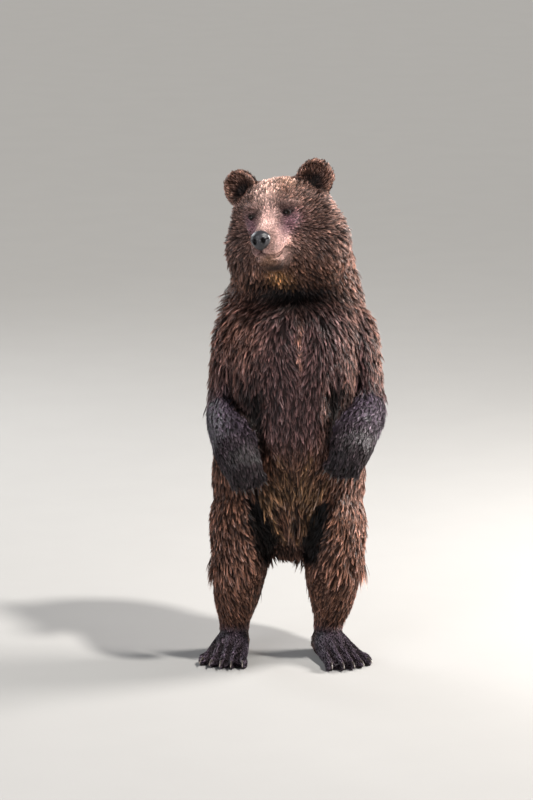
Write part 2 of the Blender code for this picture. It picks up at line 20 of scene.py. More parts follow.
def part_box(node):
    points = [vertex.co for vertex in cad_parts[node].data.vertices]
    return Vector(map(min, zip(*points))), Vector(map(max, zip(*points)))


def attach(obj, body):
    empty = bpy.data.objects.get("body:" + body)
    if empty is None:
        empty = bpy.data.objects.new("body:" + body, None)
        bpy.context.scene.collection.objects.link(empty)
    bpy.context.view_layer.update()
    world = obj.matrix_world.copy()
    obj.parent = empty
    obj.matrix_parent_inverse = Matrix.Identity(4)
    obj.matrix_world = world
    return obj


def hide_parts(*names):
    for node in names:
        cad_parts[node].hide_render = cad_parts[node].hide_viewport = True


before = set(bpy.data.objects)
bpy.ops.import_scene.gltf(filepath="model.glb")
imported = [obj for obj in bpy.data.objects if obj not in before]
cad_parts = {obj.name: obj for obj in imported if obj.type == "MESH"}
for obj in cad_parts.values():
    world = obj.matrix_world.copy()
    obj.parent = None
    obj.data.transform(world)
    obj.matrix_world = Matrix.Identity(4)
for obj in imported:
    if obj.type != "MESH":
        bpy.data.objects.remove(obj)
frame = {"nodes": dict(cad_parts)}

LOG = logging.getLogger("bear")
Rows = np.ndarray
Triple = tuple[float, float, float]

BODY = "root"
SEED = 20
SIDES = {"left": 1, "right": -1}
LIMB_PARTS = ("upper_arm", "forearm", "forepaw", "thigh", "shank", "hind_foot", "ear")
TRUNK_PARTS = ("head", "lower_jaw", "neck", "chest", "belly", "hindquarters", "tail")
FLESH = TRUNK_PARTS + tuple(f"{side}_{part}" for side in SIDES for part in LIMB_PARTS)
TOES = 5


class Slot(Enum):
    """The material slots, by which a coat piece takes its finish."""

    BROWN = "brown_fur"
    BLACK = "black_fur"
    MUZZLE = "muzzle_fur"
    CLAW = "claw"
    NOSE = "nose_leather"
    EYE = "eye"


@dataclass(frozen=True)
class HeadPose:
    """The head's turn, lift and tilt, and where the nose is in the head's own frame."""

    turn: float = math.radians(-18.3)
    lift: float = math.radians(-8.1)
    tilt: float = math.radians(-10.5)
    centre: Triple = (-0.030, -0.07, 1.741)
    nose: Triple = (0, -0.290, -0.098)
    nose_radii: Triple = (0.038, 0.027, 0.036)

    def rotation(self) -> Matrix:
        """The head's axes: x to the bear's left, -y forwards, z up."""
        turn = Matrix.Rotation(self.turn, 3, "Z")
        return turn @ Matrix.Rotation(self.lift, 3, "X") @ Matrix.Rotation(self.tilt, 3, "Y")


HEAD = HeadPose()

# Lines and places in the bear's own frame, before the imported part's shift: through each arm from the
# shoulder to the claws, each hind foot's ankle with its turn, and the middle of each forepaw.
ARM_LINES = {
    "left": (
        (0.155, 0.025, 1.37),
        (0.222, 0.010, 1.28),
        (0.264, 0.010, 1.14),
        (0.285, -0.010, 1.01),
        (0.282, -0.100, 0.965),
        (0.258, -0.195, 0.940),
        (0.240, -0.262, 0.905),
        (0.220, -0.292, 0.860),
        (0.204, -0.303, 0.780),
    ),
    "right": (
        (-0.110, 0.025, 1.37),
        (-0.178, 0.010, 1.28),
        (-0.214, 0.010, 1.14),
        (-0.232, -0.010, 1.00),
        (-0.232, -0.105, 0.945),
        (-0.216, -0.205, 0.912),
        (-0.200, -0.275, 0.872),
        (-0.176, -0.305, 0.820),
        (-0.160, -0.316, 0.740),
    ),
}
FOOT_PLACES = {
    "left": (0.152, 0.010, math.radians(22)),
    "right": (-0.210, 0.035, math.radians(-12)),
}
PAW_PLACES = {"left": (0.204, -0.303, 0.826), "right": (-0.160, -0.316, 0.786)}


class ToeRow(NamedTuple):
    """A foot's row of toes: half its width, how far it bows, and how its furrows run along one axis."""

    half: float
    bow: float
    axis: int
    tips: float
    far: float
    close: float


TOE_ROWS = {
    "hind_foot": ToeRow(0.077, 0.024, 1, -0.250, 0.190, 0.110),
    "forepaw": ToeRow(0.053, 0.016, 2, -0.046, 0.085, 0.035),
}
# The hollows of the inner thighs, as centres and radii: the skin is pressed in there, and painted shade is
# laid over them.
HOLLOWS = (
    ((-0.128, -0.17, 0.655), (0.020, 0.14, 0.045)),
    ((-0.115, -0.17, 0.590), (0.029, 0.14, 0.045)),
    ((-0.092, -0.17, 0.505), (0.032, 0.14, 0.050)),
    ((-0.072, -0.17, 0.435), (0.026, 0.14, 0.035)),
    ((0.120, -0.17, 0.620), (0.019, 0.14, 0.040)),
    ((0.101, -0.17, 0.555), (0.027, 0.14, 0.045)),
    ((0.082, -0.17, 0.485), (0.028, 0.14, 0.045)),
    ((0.062, -0.17, 0.430), (0.024, 0.14, 0.032)),
)


def unit(rows: Rows) -> Rows:
    """The rows as vectors of length one."""
    return rows / np.maximum(np.linalg.norm(rows, axis=-1, keepdims=True), 1e-12)


def rise(low: float, high: float, values: Rows) -> Rows:
    """A smooth step from 0 at low to 1 at high, where low may be the larger."""
    share = np.clip((values - low) / (high - low), 0, 1)
    return share * share * (3 - 2 * share)


def near(rows: Rows, centre: Sequence[float], radii: Sequence[float]) -> Rows:
    """A soft ball: 1 at the centre, and about a third at the radii."""
    away = (rows - np.array(centre)) / np.array(radii)
    return np.exp(-(away**2).sum(axis=1))


def blend(first: Rows, second: Sequence[float] | Rows, share: Rows) -> Rows:
    """The first rows passing to the second by each row's share."""
    return first + (np.array(second) - first) * np.reshape(share, (-1, 1))


def line_distance(rows: Rows, line: Rows) -> tuple[Rows, Rows, Rows]:
    """How far each row is from a line of points, with the direction and the share along it there.

    Args:
        rows: The places.
        line: The line's points.

    Returns:
        The distances, the line's directions, and how far along the line each place is, from 0 to 1.
    """
    best = np.full(len(rows), np.inf)
    direction = np.zeros_like(rows)
    along = np.zeros(len(rows))
    spans = len(line) - 1
    for index, (start, end) in enumerate(zip(line, line[1:])):
        step = end - start
        share = np.clip(((rows - start) @ step) / (step @ step), 0, 1)
        distance = np.linalg.norm(rows - start - share[:, None] * step, axis=1)
        closer = distance < best
        best[closer] = distance[closer]
        direction[closer] = step / np.linalg.norm(step)
        along[closer] = (index + share[closer]) / spans
    return best, direction, along


class Anatomy:
    """Where the bear's parts are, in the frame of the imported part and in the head's own frame."""

    def __init__(self, nodes: dict) -> None:
        """Places the head from the nose, and keeps a search tree of the flesh.

        Args:
            nodes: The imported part's objects by name.
        """
        self.turn = np.array(HEAD.rotation())
        self.head = self.middle("nose") - self.turn @ np.array(HEAD.nose)
        self.shift = self.head - np.array(HEAD.centre)
        self.eyes = {sign: self.middle(f"{side}_eye") for side, sign in SIDES.items()}
        points, faces, self.owners = [], [], []
        for index, name in enumerate(FLESH):
            mesh = nodes[name].data
            start = len(points)
            points.extend(vertex.co.copy() for vertex in mesh.vertices)
            faces.extend([start + i for i in face.vertices] for face in mesh.polygons)
            self.owners.extend([index] * len(mesh.polygons))
        self.tree = BVHTree.FromPolygons(points, faces)
        self.mouth = {side: FACE.mouth_line(side) for side in SIDES.values()}

    @staticmethod
    def middle(node: str) -> Rows:
        """The middle of a node's box."""
        low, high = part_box(node)
        return np.array((low + high) / 2)

    def in_head(self, rows: Rows) -> Rows:
        """The rows in the head's own frame."""
        return (rows - self.head) @ self.turn

    def in_nose(self, rows: Rows) -> Rows:
        """How far places in the head's frame are from the nose's middle, as a share of its radii."""
        return np.sqrt((((rows - HEAD.nose) / HEAD.nose_radii) ** 2).sum(axis=1))

    def from_head(self, rows: Rows) -> Rows:
        """Directions in the head's own frame, turned into the part's frame."""
        return rows @ self.turn.T

    def parts(self, rows: Rows) -> Rows:
        """The index in FLESH of the part that each row is nearest to."""
        found = [self.tree.find_nearest(Vector(row))[2] for row in rows]
        return np.array(self.owners)[found]

    def furrows(self, points: Rows, kinds: Rows) -> Rows:
        """Where the furrows between the toes are, from 0 to 1.

        Args:
            points: The places.
            kinds: The kind of part at each.

        Returns:
            The depth at each place.
        """
        depth = np.zeros(len(points))
        for side, sign in SIDES.items():
            for kind, base in (("hind_foot", self.foot(side)), ("forepaw", self.paw(side))):
                row = TOE_ROWS[kind]
                mine = (kinds == kind) & (points[:, 0] * sign > 0)
                local = (points[mine] - np.array(base.translation)) @ np.array(base.to_3x3())
                along = local[:, row.axis] - row.tips
                toe = 2 * local[:, 0] / (row.half * (1 - 0.9 * along))
                furrow = (0.5 - 0.5 * np.cos(2 * math.pi * toe)) ** 1.6 * (np.abs(toe) < 2)
                depth[mine] = furrow * rise(row.far, row.close, along)
        return depth

    def lip_gap(self, rows: Rows) -> Rows:
        """How far places in the head's frame are from the lips' lines, or from just below them."""
        lines = [self.mouth[side] - (0, 0, drop) for side in SIDES.values() for drop in (0, 0.0035)]
        return np.min([line_distance(rows, line)[0] for line in lines], axis=0)

    def arm_line(self, side: str) -> Rows:
        """The line through an arm, from the shoulder to the claws."""
        return np.array(ARM_LINES[side]) + self.shift

    def beside_arms(self, points: Rows, far: float, close: float) -> Rows:
        """How close places are to an arm below the shoulder: 0 at far, and 1 at close or nearer."""
        gaps = [line_distance(points, self.arm_line(side)[2:7])[0] for side in SIDES]
        return rise(far, close, np.min(gaps, axis=0))

    def foot(self, side: str) -> Matrix:
        """A hind foot's frame on the ground under its ankle, with -y along the foot.

        Args:
            side: left or right.

        Returns:
            The frame.
        """
        x, y, turn = FOOT_PLACES[side]
        place = Vector((x, y, 0)) + Vector(self.shift)
        return Matrix.Translation(place) @ Matrix.Rotation(turn, 4, "Z")

    def paw(self, side: str) -> Matrix:
        """A forepaw's frame at its middle: x across it, -y out of its back, -z towards the toes.

        Args:
            side: left or right.

        Returns:
            The frame.
        """
        place = Vector(PAW_PLACES[side]) + Vector(self.shift)
        down = (place - Vector(self.arm_line(side)[-3])).normalized()
        across = Vector((1, 0, 0))
        across = (across - down * across.dot(down)).normalized()
        back = (-down).cross(across)
        return Matrix.Translation(place) @ Matrix((across, back, -down)).transposed().to_4x4()


def linked(name: str, data: bpy.types.ID) -> bpy.types.Object:
    """A new object in the scene that holds the mesh, light or camera.

    Args:
        name: The object's name.
        data: What it holds.

    Returns:
        The object.
    """
    item = bpy.data.objects.new(name, data)
    bpy.context.scene.collection.objects.link(item)
    return item


def mesh_of(form: bmesh.types.BMesh, name: str) -> bpy.types.Mesh:
    """The form as a mesh; the form is freed.

    Args:
        form: The form.
        name: The mesh's name.

    Returns:
        The mesh.
    """
    mesh = bpy.data.meshes.new(name)
    form.to_mesh(mesh)
    form.free()
    return mesh


def search_tree(rows: Rows) -> KDTree:
    """A search tree of places, numbered in their order.

    Args:
        rows: The places.

    Returns:
        The balanced tree.
    """
    tree = KDTree(len(rows))
    for index, row in enumerate(rows.tolist()):
        tree.insert(row, index)
    tree.balance()
    return tree


def evaluated(item: bpy.types.Object) -> bpy.types.Mesh:
    """The item's mesh with its modifiers applied; the item is removed.

    Args:
        item: The item.

    Returns:
        The mesh.
    """
    graph = bpy.context.evaluated_depsgraph_get()
    mesh = bpy.data.meshes.new_from_object(item.evaluated_get(graph))
    bpy.data.objects.remove(item)
    return mesh


def mesh_from(name: str, points: Rows, faces: Rows) -> bpy.types.Mesh:
    """A mesh of equal faces from arrays, smooth shaded.

    Args:
        name: The mesh's name.
        points: The corners' places.
        faces: The corners of each face, as many in every row.

    Returns:
        The mesh.
    """
    mesh = bpy.data.meshes.new(name)
    count, sides = faces.shape
    mesh.vertices.add(len(points))
    mesh.vertices.foreach_set("co", np.ascontiguousarray(points, np.float32).ravel())
    mesh.loops.add(count * sides)
    mesh.loops.foreach_set("vertex_index", np.ascontiguousarray(faces, np.int32).ravel())
    mesh.polygons.add(count)
    mesh.polygons.foreach_set("loop_start", np.arange(0, count * sides, sides, dtype=np.int32))
    mesh.update(calc_edges=True)
    mesh.shade_smooth()
    return mesh


def coloured(mesh: bpy.types.Mesh, name: str, colours: Rows) -> None:
    """Adds a colour for each corner point.

    Args:
        mesh: The mesh.
        name: The attribute's name.
        colours: A red, green and blue for each point.
    """
    layer = mesh.color_attributes.new(name, "FLOAT_COLOR", "POINT")
    rgba = np.ones((len(colours), 4), np.float32)
    rgba[:, :3] = colours
    layer.data.foreach_set("color", rgba.ravel())


def valued(mesh: bpy.types.Mesh, name: str, values: Rows) -> None:
    """Adds a number for each corner point."""
    layer = mesh.attributes.new(name, "FLOAT", "POINT")
    layer.data.foreach_set("value", np.ascontiguousarray(values, np.float32))


class Graph:
    """A mesh's points and edges as arrays, with its normals and averages over neighbours."""

    def __init__(self, mesh: bpy.types.Mesh) -> None:
        """Reads the mesh.

        Args:
            mesh: The mesh, of triangles and quads.
        """
        mesh.calc_loop_triangles()
        self.points = self.read(mesh.vertices, "co", 3, float)
        self.edges = self.read(mesh.edges, "vertices", 2, int)
        self.triangles = self.read(mesh.loop_triangles, "vertices", 3, int)
        degree = np.bincount(self.edges.ravel(), minlength=len(self.points))
        self.degree = np.maximum(degree, 1)

    @staticmethod
    def read(items: Any, name: str, width: int, kind: type) -> Rows:
        """One property of every item as rows.

        Args:
            items: The mesh's own list of them.
            name: The property.
            width: How many numbers it has for each.
            kind: Their type.

        Returns:
            A row for each item.
        """
        values = np.empty(len(items) * width, np.float32 if kind is float else np.int32)
        items.foreach_get(name, values)
        return values.reshape(-1, width).astype(kind)

    def around(self, values: Rows) -> Rows:
        """The average of each point's neighbours.

        Args:
            values: A value or a vector for each point.

        Returns:
            The averages.
        """
        total = np.empty_like(values)
        first, second = self.edges.T
        for column in range(values.shape[1]):
            row = values[:, column]
            total[:, column] = np.bincount(first, row[second], len(values))
            total[:, column] += np.bincount(second, row[first], len(values))
        return total / self.degree[:, None]

    def spread(self, values: Rows, rounds: int) -> Rows:
        """The values smoothed over the surface.

        Args:
            values: A value or a vector for each point.
            rounds: How often it is done.

        Returns:
            The smoothed values.
        """
        flat = values.reshape(len(values), -1).astype(float)
        for _ in range(rounds):
            flat = 0.4 * flat + 0.6 * self.around(flat)
        return flat.reshape(values.shape)

    def smooth(self, rounds: int, weight: Rows) -> None:
        """Smooths the points without shrinking the form.

        Args:
            rounds: How many times.
            weight: How much each point takes part, from 0 to 1.
        """
        for _ in range(rounds):
            for step in (0.55, -0.57):
                offset = self.around(self.points) - self.points
                self.points += step * weight[:, None] * offset

    def normals(self) -> Rows:
        """The surface's direction at each point.

        Returns:
            A vector of length one for each point.
        """
        corners = self.points[self.triangles]
        faces = np.cross(corners[:, 1] - corners[:, 0], corners[:, 2] - corners[:, 0])
        total = np.zeros_like(self.points)
        for column in range(3):
            for corner in range(3):
                total[:, column] += np.bincount(
                    self.triangles[:, corner], faces[:, column], len(self.points)
                )
        return unit(total)


def operator(operation: str) -> Callable[["Value", Any], "Value"]:
    """An operator of Value that adds a Math node of the operation."""
    return lambda value, other: value.nodes.maths(operation, value, other)


class Value:
    """A number in a node tree, on which Python's operators work."""

    __add__ = __radd__ = operator("ADD")
    __mul__ = __rmul__ = operator("MULTIPLY")
    __sub__ = operator("SUBTRACT")
    __truediv__ = operator("DIVIDE")
    __pow__ = operator("POWER")

    def __init__(self, nodes: "Nodes", socket: bpy.types.NodeSocket) -> None:
        """Wraps an output socket."""
        self.nodes = nodes
        self.socket = socket

    def __rsub__(self, other: Any) -> "Value":
        """The other less this one."""
        return self.nodes.maths("SUBTRACT", other, self)

    def between(self, low: float, high: float, start: float = 0, end: float = 1) -> "Value":
        """This value moved smoothly from low and high to start and end.

        Args:
            low: The value at the start.
            high: The value at the end.
            start: What the first becomes.
            end: What the second becomes.

        Returns:
            The moved value.
        """
        inputs = {"Value": self, 1: low, 2: high, 3: start, 4: end}
        node = self.nodes.add("ShaderNodeMapRange", {"interpolation_type": "SMOOTHSTEP"}, inputs)
        return Value(self.nodes, node.outputs[0])


class Nodes:
    """A material's node tree round one Principled shader."""

    def __init__(self, name: str) -> None:
        """Makes the material.

        Args:
            name: The material's name.
        """
        self.material = bpy.data.materials.new(name)
        self.material.use_nodes = True
        self.tree = self.material.node_tree
        self.shader = self.tree.nodes["Principled BSDF"]

    def plug(self, socket: bpy.types.NodeSocket, source: Any) -> None:
        """Links or sets a socket.

        Args:
            socket: The socket.
            source: A value, a socket, a number or a colour.
        """
        if isinstance(source, Value):
            source = source.socket
        if isinstance(source, bpy.types.NodeSocket):
            self.tree.links.new(source, socket)
        elif socket.type == "RGBA" and len(source) == 3:
            socket.default_value = (*source, 1)
        else:
            socket.default_value = source

    def add(self, kind: str, settings: dict | None = None, inputs: dict | None = None) -> bpy.types.Node:
        """Adds a node.

        Args:
            kind: The node's type.
            settings: The properties that are set first.
            inputs: Values or links by the socket's name or number.

        Returns:
            The node.
        """
        node = self.tree.nodes.new(kind)
        for name, value in (settings or {}).items():
            setattr(node, name, value)
        for key, source in (inputs or {}).items():
            self.plug(node.inputs[key], source)
        return node

    def maths(self, operation: str, *values: Any) -> Value:
        """A Math node on values or numbers."""
        node = self.add("ShaderNodeMath", {"operation": operation}, dict(enumerate(values)))
        return Value(self, node.outputs[0])

    def colour(self, share: Any, first: Any, second: Any, mode: str = "MIX") -> bpy.types.NodeSocket:
        """Two colours mixed by a share.

        Args:
            share: How much of the second.
            first: A colour or a socket.
            second: A colour or a socket.
            mode: How they are mixed.

        Returns:
            The mixed colour.
        """
        settings = {"data_type": "RGBA", "blend_type": mode}
        node = self.add("ShaderNodeMix", settings, {0: share, 6: first, 7: second})
        return node.outputs[2]

    def noise(self, place: Any, scale: float, detail: float = 3, rough: float = 0.55) -> Value:
        """A noise over the places."""
        inputs = {"Vector": place, "Scale": scale, "Detail": detail, "Roughness": rough}
        return Value(self, self.add("ShaderNodeTexNoise", {}, inputs).outputs[0])

    def cells(self, place: Any, scale: float) -> Value:
        """The distance to the nearest of scattered points."""
        node = self.add("ShaderNodeTexVoronoi", {}, {"Vector": place, "Scale": scale})
        return Value(self, node.outputs["Distance"])

    def places(self) -> bpy.types.NodeSocket:
        """The object's own coordinates."""
        return self.add("ShaderNodeTexCoord").outputs["Object"]

    def map(self, name: str, scale: Sequence[float]) -> bpy.types.NodeSocket:
        """A named map's coordinates, scaled."""
        source = self.add("ShaderNodeUVMap", {"uv_map": name}).outputs[0]
        return self.add("ShaderNodeMapping", {}, {"Vector": source, "Scale": scale}).outputs[0]

    def tone(self, name: str) -> bpy.types.NodeSocket:
        """A colour attribute."""
        return self.add("ShaderNodeAttribute", {"attribute_name": name}).outputs["Color"]

    def shaded(self, light: Value) -> bpy.types.NodeSocket:
        """The tone that the mesh carries, made lighter and darker."""
        grey = self.add("ShaderNodeCombineColor", {}, {0: light, 1: light, 2: light})
        return self.colour(1.0, self.tone("tone"), grey.outputs[0], "MULTIPLY")

    def amount(self, name: str) -> Value:
        """A number attribute."""
        node = self.add("ShaderNodeAttribute", {"attribute_name": name})
        return Value(self, node.outputs["Fac"])

    def bump(self, height: Value, strength: float, distance: float) -> None:
        """Gives the shader its relief.

        Args:
            height: The relief's height.
            strength: How strong it shows.
            distance: How deep it is, in metres.
        """
        inputs = {"Height": height, "Strength": strength, "Distance": distance}
        node = self.add("ShaderNodeBump", {}, inputs)
        self.plug(self.shader.inputs["Normal"], node.outputs[0])

    def finish(self, **inputs: Any) -> bpy.types.Material:
        """Sets the shader's sockets, whose names are given with _ for a space.

        Args:
            **inputs: What each socket gets.

        Returns:
            The material.
        """
        for name, source in inputs.items():
            self.plug(self.shader.inputs[name.replace("_", " ")], source)
        return self.material


@dataclass(frozen=True)
class FurFinish:
    """Wet fur: strands drawn along each tuft, over the tone that the tuft carries."""

    name: str
    roughness: float = 0.44
    shine: float = 0.16
    strands: float = 0.5

    def build(self) -> bpy.types.Material:
        """The material of a coat piece.

        Returns:
            The material.
        """
        nodes = Nodes(self.name)
        strand = nodes.noise(nodes.map("lock", (9, 0.8, 1)), 1, 2, 0.6)
        damp = nodes.noise(nodes.places(), 22)
        light = strand.between(0.3, 0.7, 1 - self.strands, 1 + self.strands)
        light = light * damp.between(0.3, 0.7, 0.86, 1.14)
        tone = nodes.shaded(light)
        nodes.bump(strand, 0.5, 0.0006)
        rough = damp.between(0.25, 0.75, self.roughness - 0.1, self.roughness + 0.1)
        return nodes.finish(Base_Color=tone, Roughness=rough, Specular_IOR_Level=self.shine)


@dataclass(frozen=True)
class SkinFinish:
    """The skin under the coat: short fur and, where there is none, leathery pads and lids."""

    name: str = "bear_skin"

    def build(self) -> bpy.types.Material:
        """The skin's material.

        Returns:
            The material.
        """
        nodes = Nodes(self.name)
        place = nodes.places()
        fine = nodes.noise(place, 420, 3)
        patchy = nodes.noise(place, 30)
        pebbles = nodes.cells(place, 300)
        bare = nodes.amount("bare")
        light = fine.between(0.3, 0.7, 0.72, 1.2) * patchy.between(0.3, 0.7, 0.85, 1.15)
        tone = nodes.shaded(light)
        nodes.bump(fine * (1 - bare) + pebbles * bare, 0.6, 0.0012)
        rough = 0.78 - bare * 0.20 + patchy * 0.08
        return nodes.finish(Base_Color=tone, Roughness=rough, Specular_IOR_Level=0.14)


@dataclass(frozen=True)
class LeatherFinish:
    """The nose's leather, black and moist, with a fine pebble."""

    name: str = "nose_leather"

    def build(self) -> bpy.types.Material:
        """The nose's material.

        Returns:
            The material.
        """
        nodes = Nodes(self.name)
        place = nodes.places()
        pebbles = nodes.cells(place, 430)
        worn = nodes.noise(place, 45)
        pit = nodes.amount("pit")
        tone = nodes.colour(worn.between(0.35, 0.7), (0.009, 0.009, 0.011), (0.028, 0.027, 0.032))
        # Near black and matte inside the nostrils: painted shade in the openings.
        tone = nodes.colour(pit, tone, (0.003, 0.002, 0.002))
        nodes.bump(pebbles * (1 - pit), 0.55, 0.0009)
        rough = worn.between(0.3, 0.7, 0.27, 0.40) + pit * 0.6
        return nodes.finish(Base_Color=tone, Roughness=rough, Specular_IOR_Level=0.6)


@dataclass(frozen=True)
class EyeFinish:
    """A small dark eye: a black pupil in a deep brown iris, under a wet cornea."""

    name: str = "bear_eye"

    def build(self) -> bpy.types.Material:
        """The eye's material.

        Returns:
            The material.
        """
        nodes = Nodes(self.name)
        away = nodes.amount("away")
        streaks = nodes.noise(nodes.places(), 900, 4)
        iris = nodes.colour(streaks.between(0.3, 0.7), (0.010, 0.005, 0.003), (0.032, 0.015, 0.007))
        tone = nodes.colour(away.between(0.30, 0.36), (0.002, 0.002, 0.002), iris)
        tone = nodes.colour(away.between(0.62, 0.74), tone, (0.020, 0.012, 0.010))
        rough = away.between(0.70, 0.95, 0.04, 0.16)
        return nodes.finish(Base_Color=tone, Roughness=rough, Specular_IOR_Level=0.3, Coat_Weight=0.1)


@dataclass(frozen=True)
class HornFinish:
    """A claw's horn: dark at the root, paler and worn at the tip, with lengthwise grain."""

    name: str = "claw_horn"
    tip: Triple = (0.36, 0.31, 0.265)

    def build(self) -> bpy.types.Material:
        """The claws' material.

        Returns:
            The material.
        """
        nodes = Nodes(self.name)
        along = nodes.amount("along")
        place = nodes.places()
        grain = nodes.noise(place, 260, 4)
        chips = nodes.noise(place, 900, 2)
        horn = nodes.colour(grain.between(0.35, 0.65), (0.022, 0.017, 0.016), (0.070, 0.054, 0.046))
        tone = nodes.colour(along.between(0.55, 1.0), horn, self.tip)
        nodes.bump(grain + chips * 0.4, 0.4, 0.0006)
        return nodes.finish(Base_Color=tone, Roughness=grain.between(0.3, 0.7, 0.3, 0.5))


@dataclass(frozen=True)
class FloorFinish:
    """A plain pale studio floor."""

    name: str = "studio_floor"
    tone: Triple = (0.33, 0.326, 0.318)

    def build(self) -> bpy.types.Material:
        """The floor's material.

        Returns:
            The material.
        """
        nodes = Nodes(self.name)
        faint = nodes.noise(nodes.places(), 3)
        darker = tuple(0.985 * share for share in self.tone)
        tone = nodes.colour(faint.between(0.3, 0.7), darker, self.tone)
        return nodes.finish(Base_Color=tone, Roughness=0.85, Specular_IOR_Level=0.2)


class Coat(NamedTuple):
    """How the fur grows on a part of the body.

    Lengths, widths and spacings are in metres, and so is depth, which is how far the skin lies under
    the flesh node's surface. Lift is how steeply tufts rise as a share of their length, and clump is
    how far a clump's strands draw together, from 0 to 1.
    """

    length: float
    width: float
    spacing: float
    group: float
    clump: float
    lift: float
    depth: float = 0.012


COATS = {
    "head": Coat(0.022, 0.0019, 0.0027, 0.0085, 0.74, 0.34, 0.009),
    "lower_jaw": Coat(0.016, 0.0015, 0.0020, 0.0065, 0.50, 0.25, 0.004),
    "ear": Coat(0.015, 0.0016, 0.0026, 0.0070, 0.50, 0.36, 0.004),
    "neck": Coat(0.037, 0.0024, 0.0040, 0.0120, 0.94, 0.44),
    "chest": Coat(0.036, 0.0023, 0.0042, 0.0115, 0.90, 0.26),
    "belly": Coat(0.034, 0.0024, 0.0043, 0.0115, 0.90, 0.22),
    "hindquarters": Coat(0.038, 0.0026, 0.0044, 0.0130, 0.93, 0.30),
    "tail": Coat(0.036, 0.0025, 0.0040, 0.0120, 0.80, 0.26),
    "upper_arm": Coat(0.037, 0.0024, 0.0040, 0.0118, 0.94, 0.36),
    "forearm": Coat(0.036, 0.0017, 0.0034, 0.0105, 0.84, 0.16, 0.006),
    "forepaw": Coat(0.020, 0.0015, 0.0027, 0.0080, 0.72, 0.18, 0.003),
    "thigh": Coat(0.036, 0.0025, 0.0040, 0.0125, 0.95, 0.36),
    "shank": Coat(0.029, 0.0021, 0.0036, 0.0105, 0.86, 0.20, 0.007),
    "hind_foot": Coat(0.013, 0.0015, 0.0026, 0.0065, 0.70, 0.10, 0.003),
}


def kind_of(name: str) -> str:
    """A part's name without its side."""
    return name.split("_", 1)[1] if name.split("_")[0] in SIDES else name


KINDS = tuple(kind_of(name) for name in FLESH)


@dataclass(frozen=True)
class Face:
    """Places on the face, in the head's own frame."""

    eye_out: Triple = (0.42, -0.90, 0.08)
    eye_up: Triple = (0.16, 0.0, 1.0)
    eye_radius: float = 0.0135
    eye_sunk: float = 0.0022
    slit_half_width: float = 0.0108
    slit_half_height: float = 0.0064
    lid: float = 0.0024
    mouth: tuple = (
        (0.000, -0.300, -0.152),
        (0.019, -0.280, -0.160),
        (0.034, -0.250, -0.164),
        (0.048, -0.215, -0.156),
        (0.060, -0.180, -0.143),
        (0.070, -0.145, -0.134),
    )

    def mouth_line(self, side: int) -> Rows:
        """The lips' line on one side."""
        return np.array(self.mouth) * (side, 1, 1)


FACE = Face()
# Forms that both sides of the face have, in the head's frame: height, centre and radii.
FACE_FORMS = (
    (0.0045, (0.032, -0.262, -0.138), (0.022, 0.030, 0.016)),
    (-0.0045, (0.050, -0.150, 0.000), (0.016, 0.05, 0.020)),
    (0.0035, (0.072, -0.150, 0.024), (0.036, 0.05, 0.014)),
    (-0.0070, (0.060, -0.190, -0.062), (0.022, 0.05, 0.026)),
    (0.0030, (0.018, -0.190, -0.035), (0.010, 0.07, 0.020)),
)


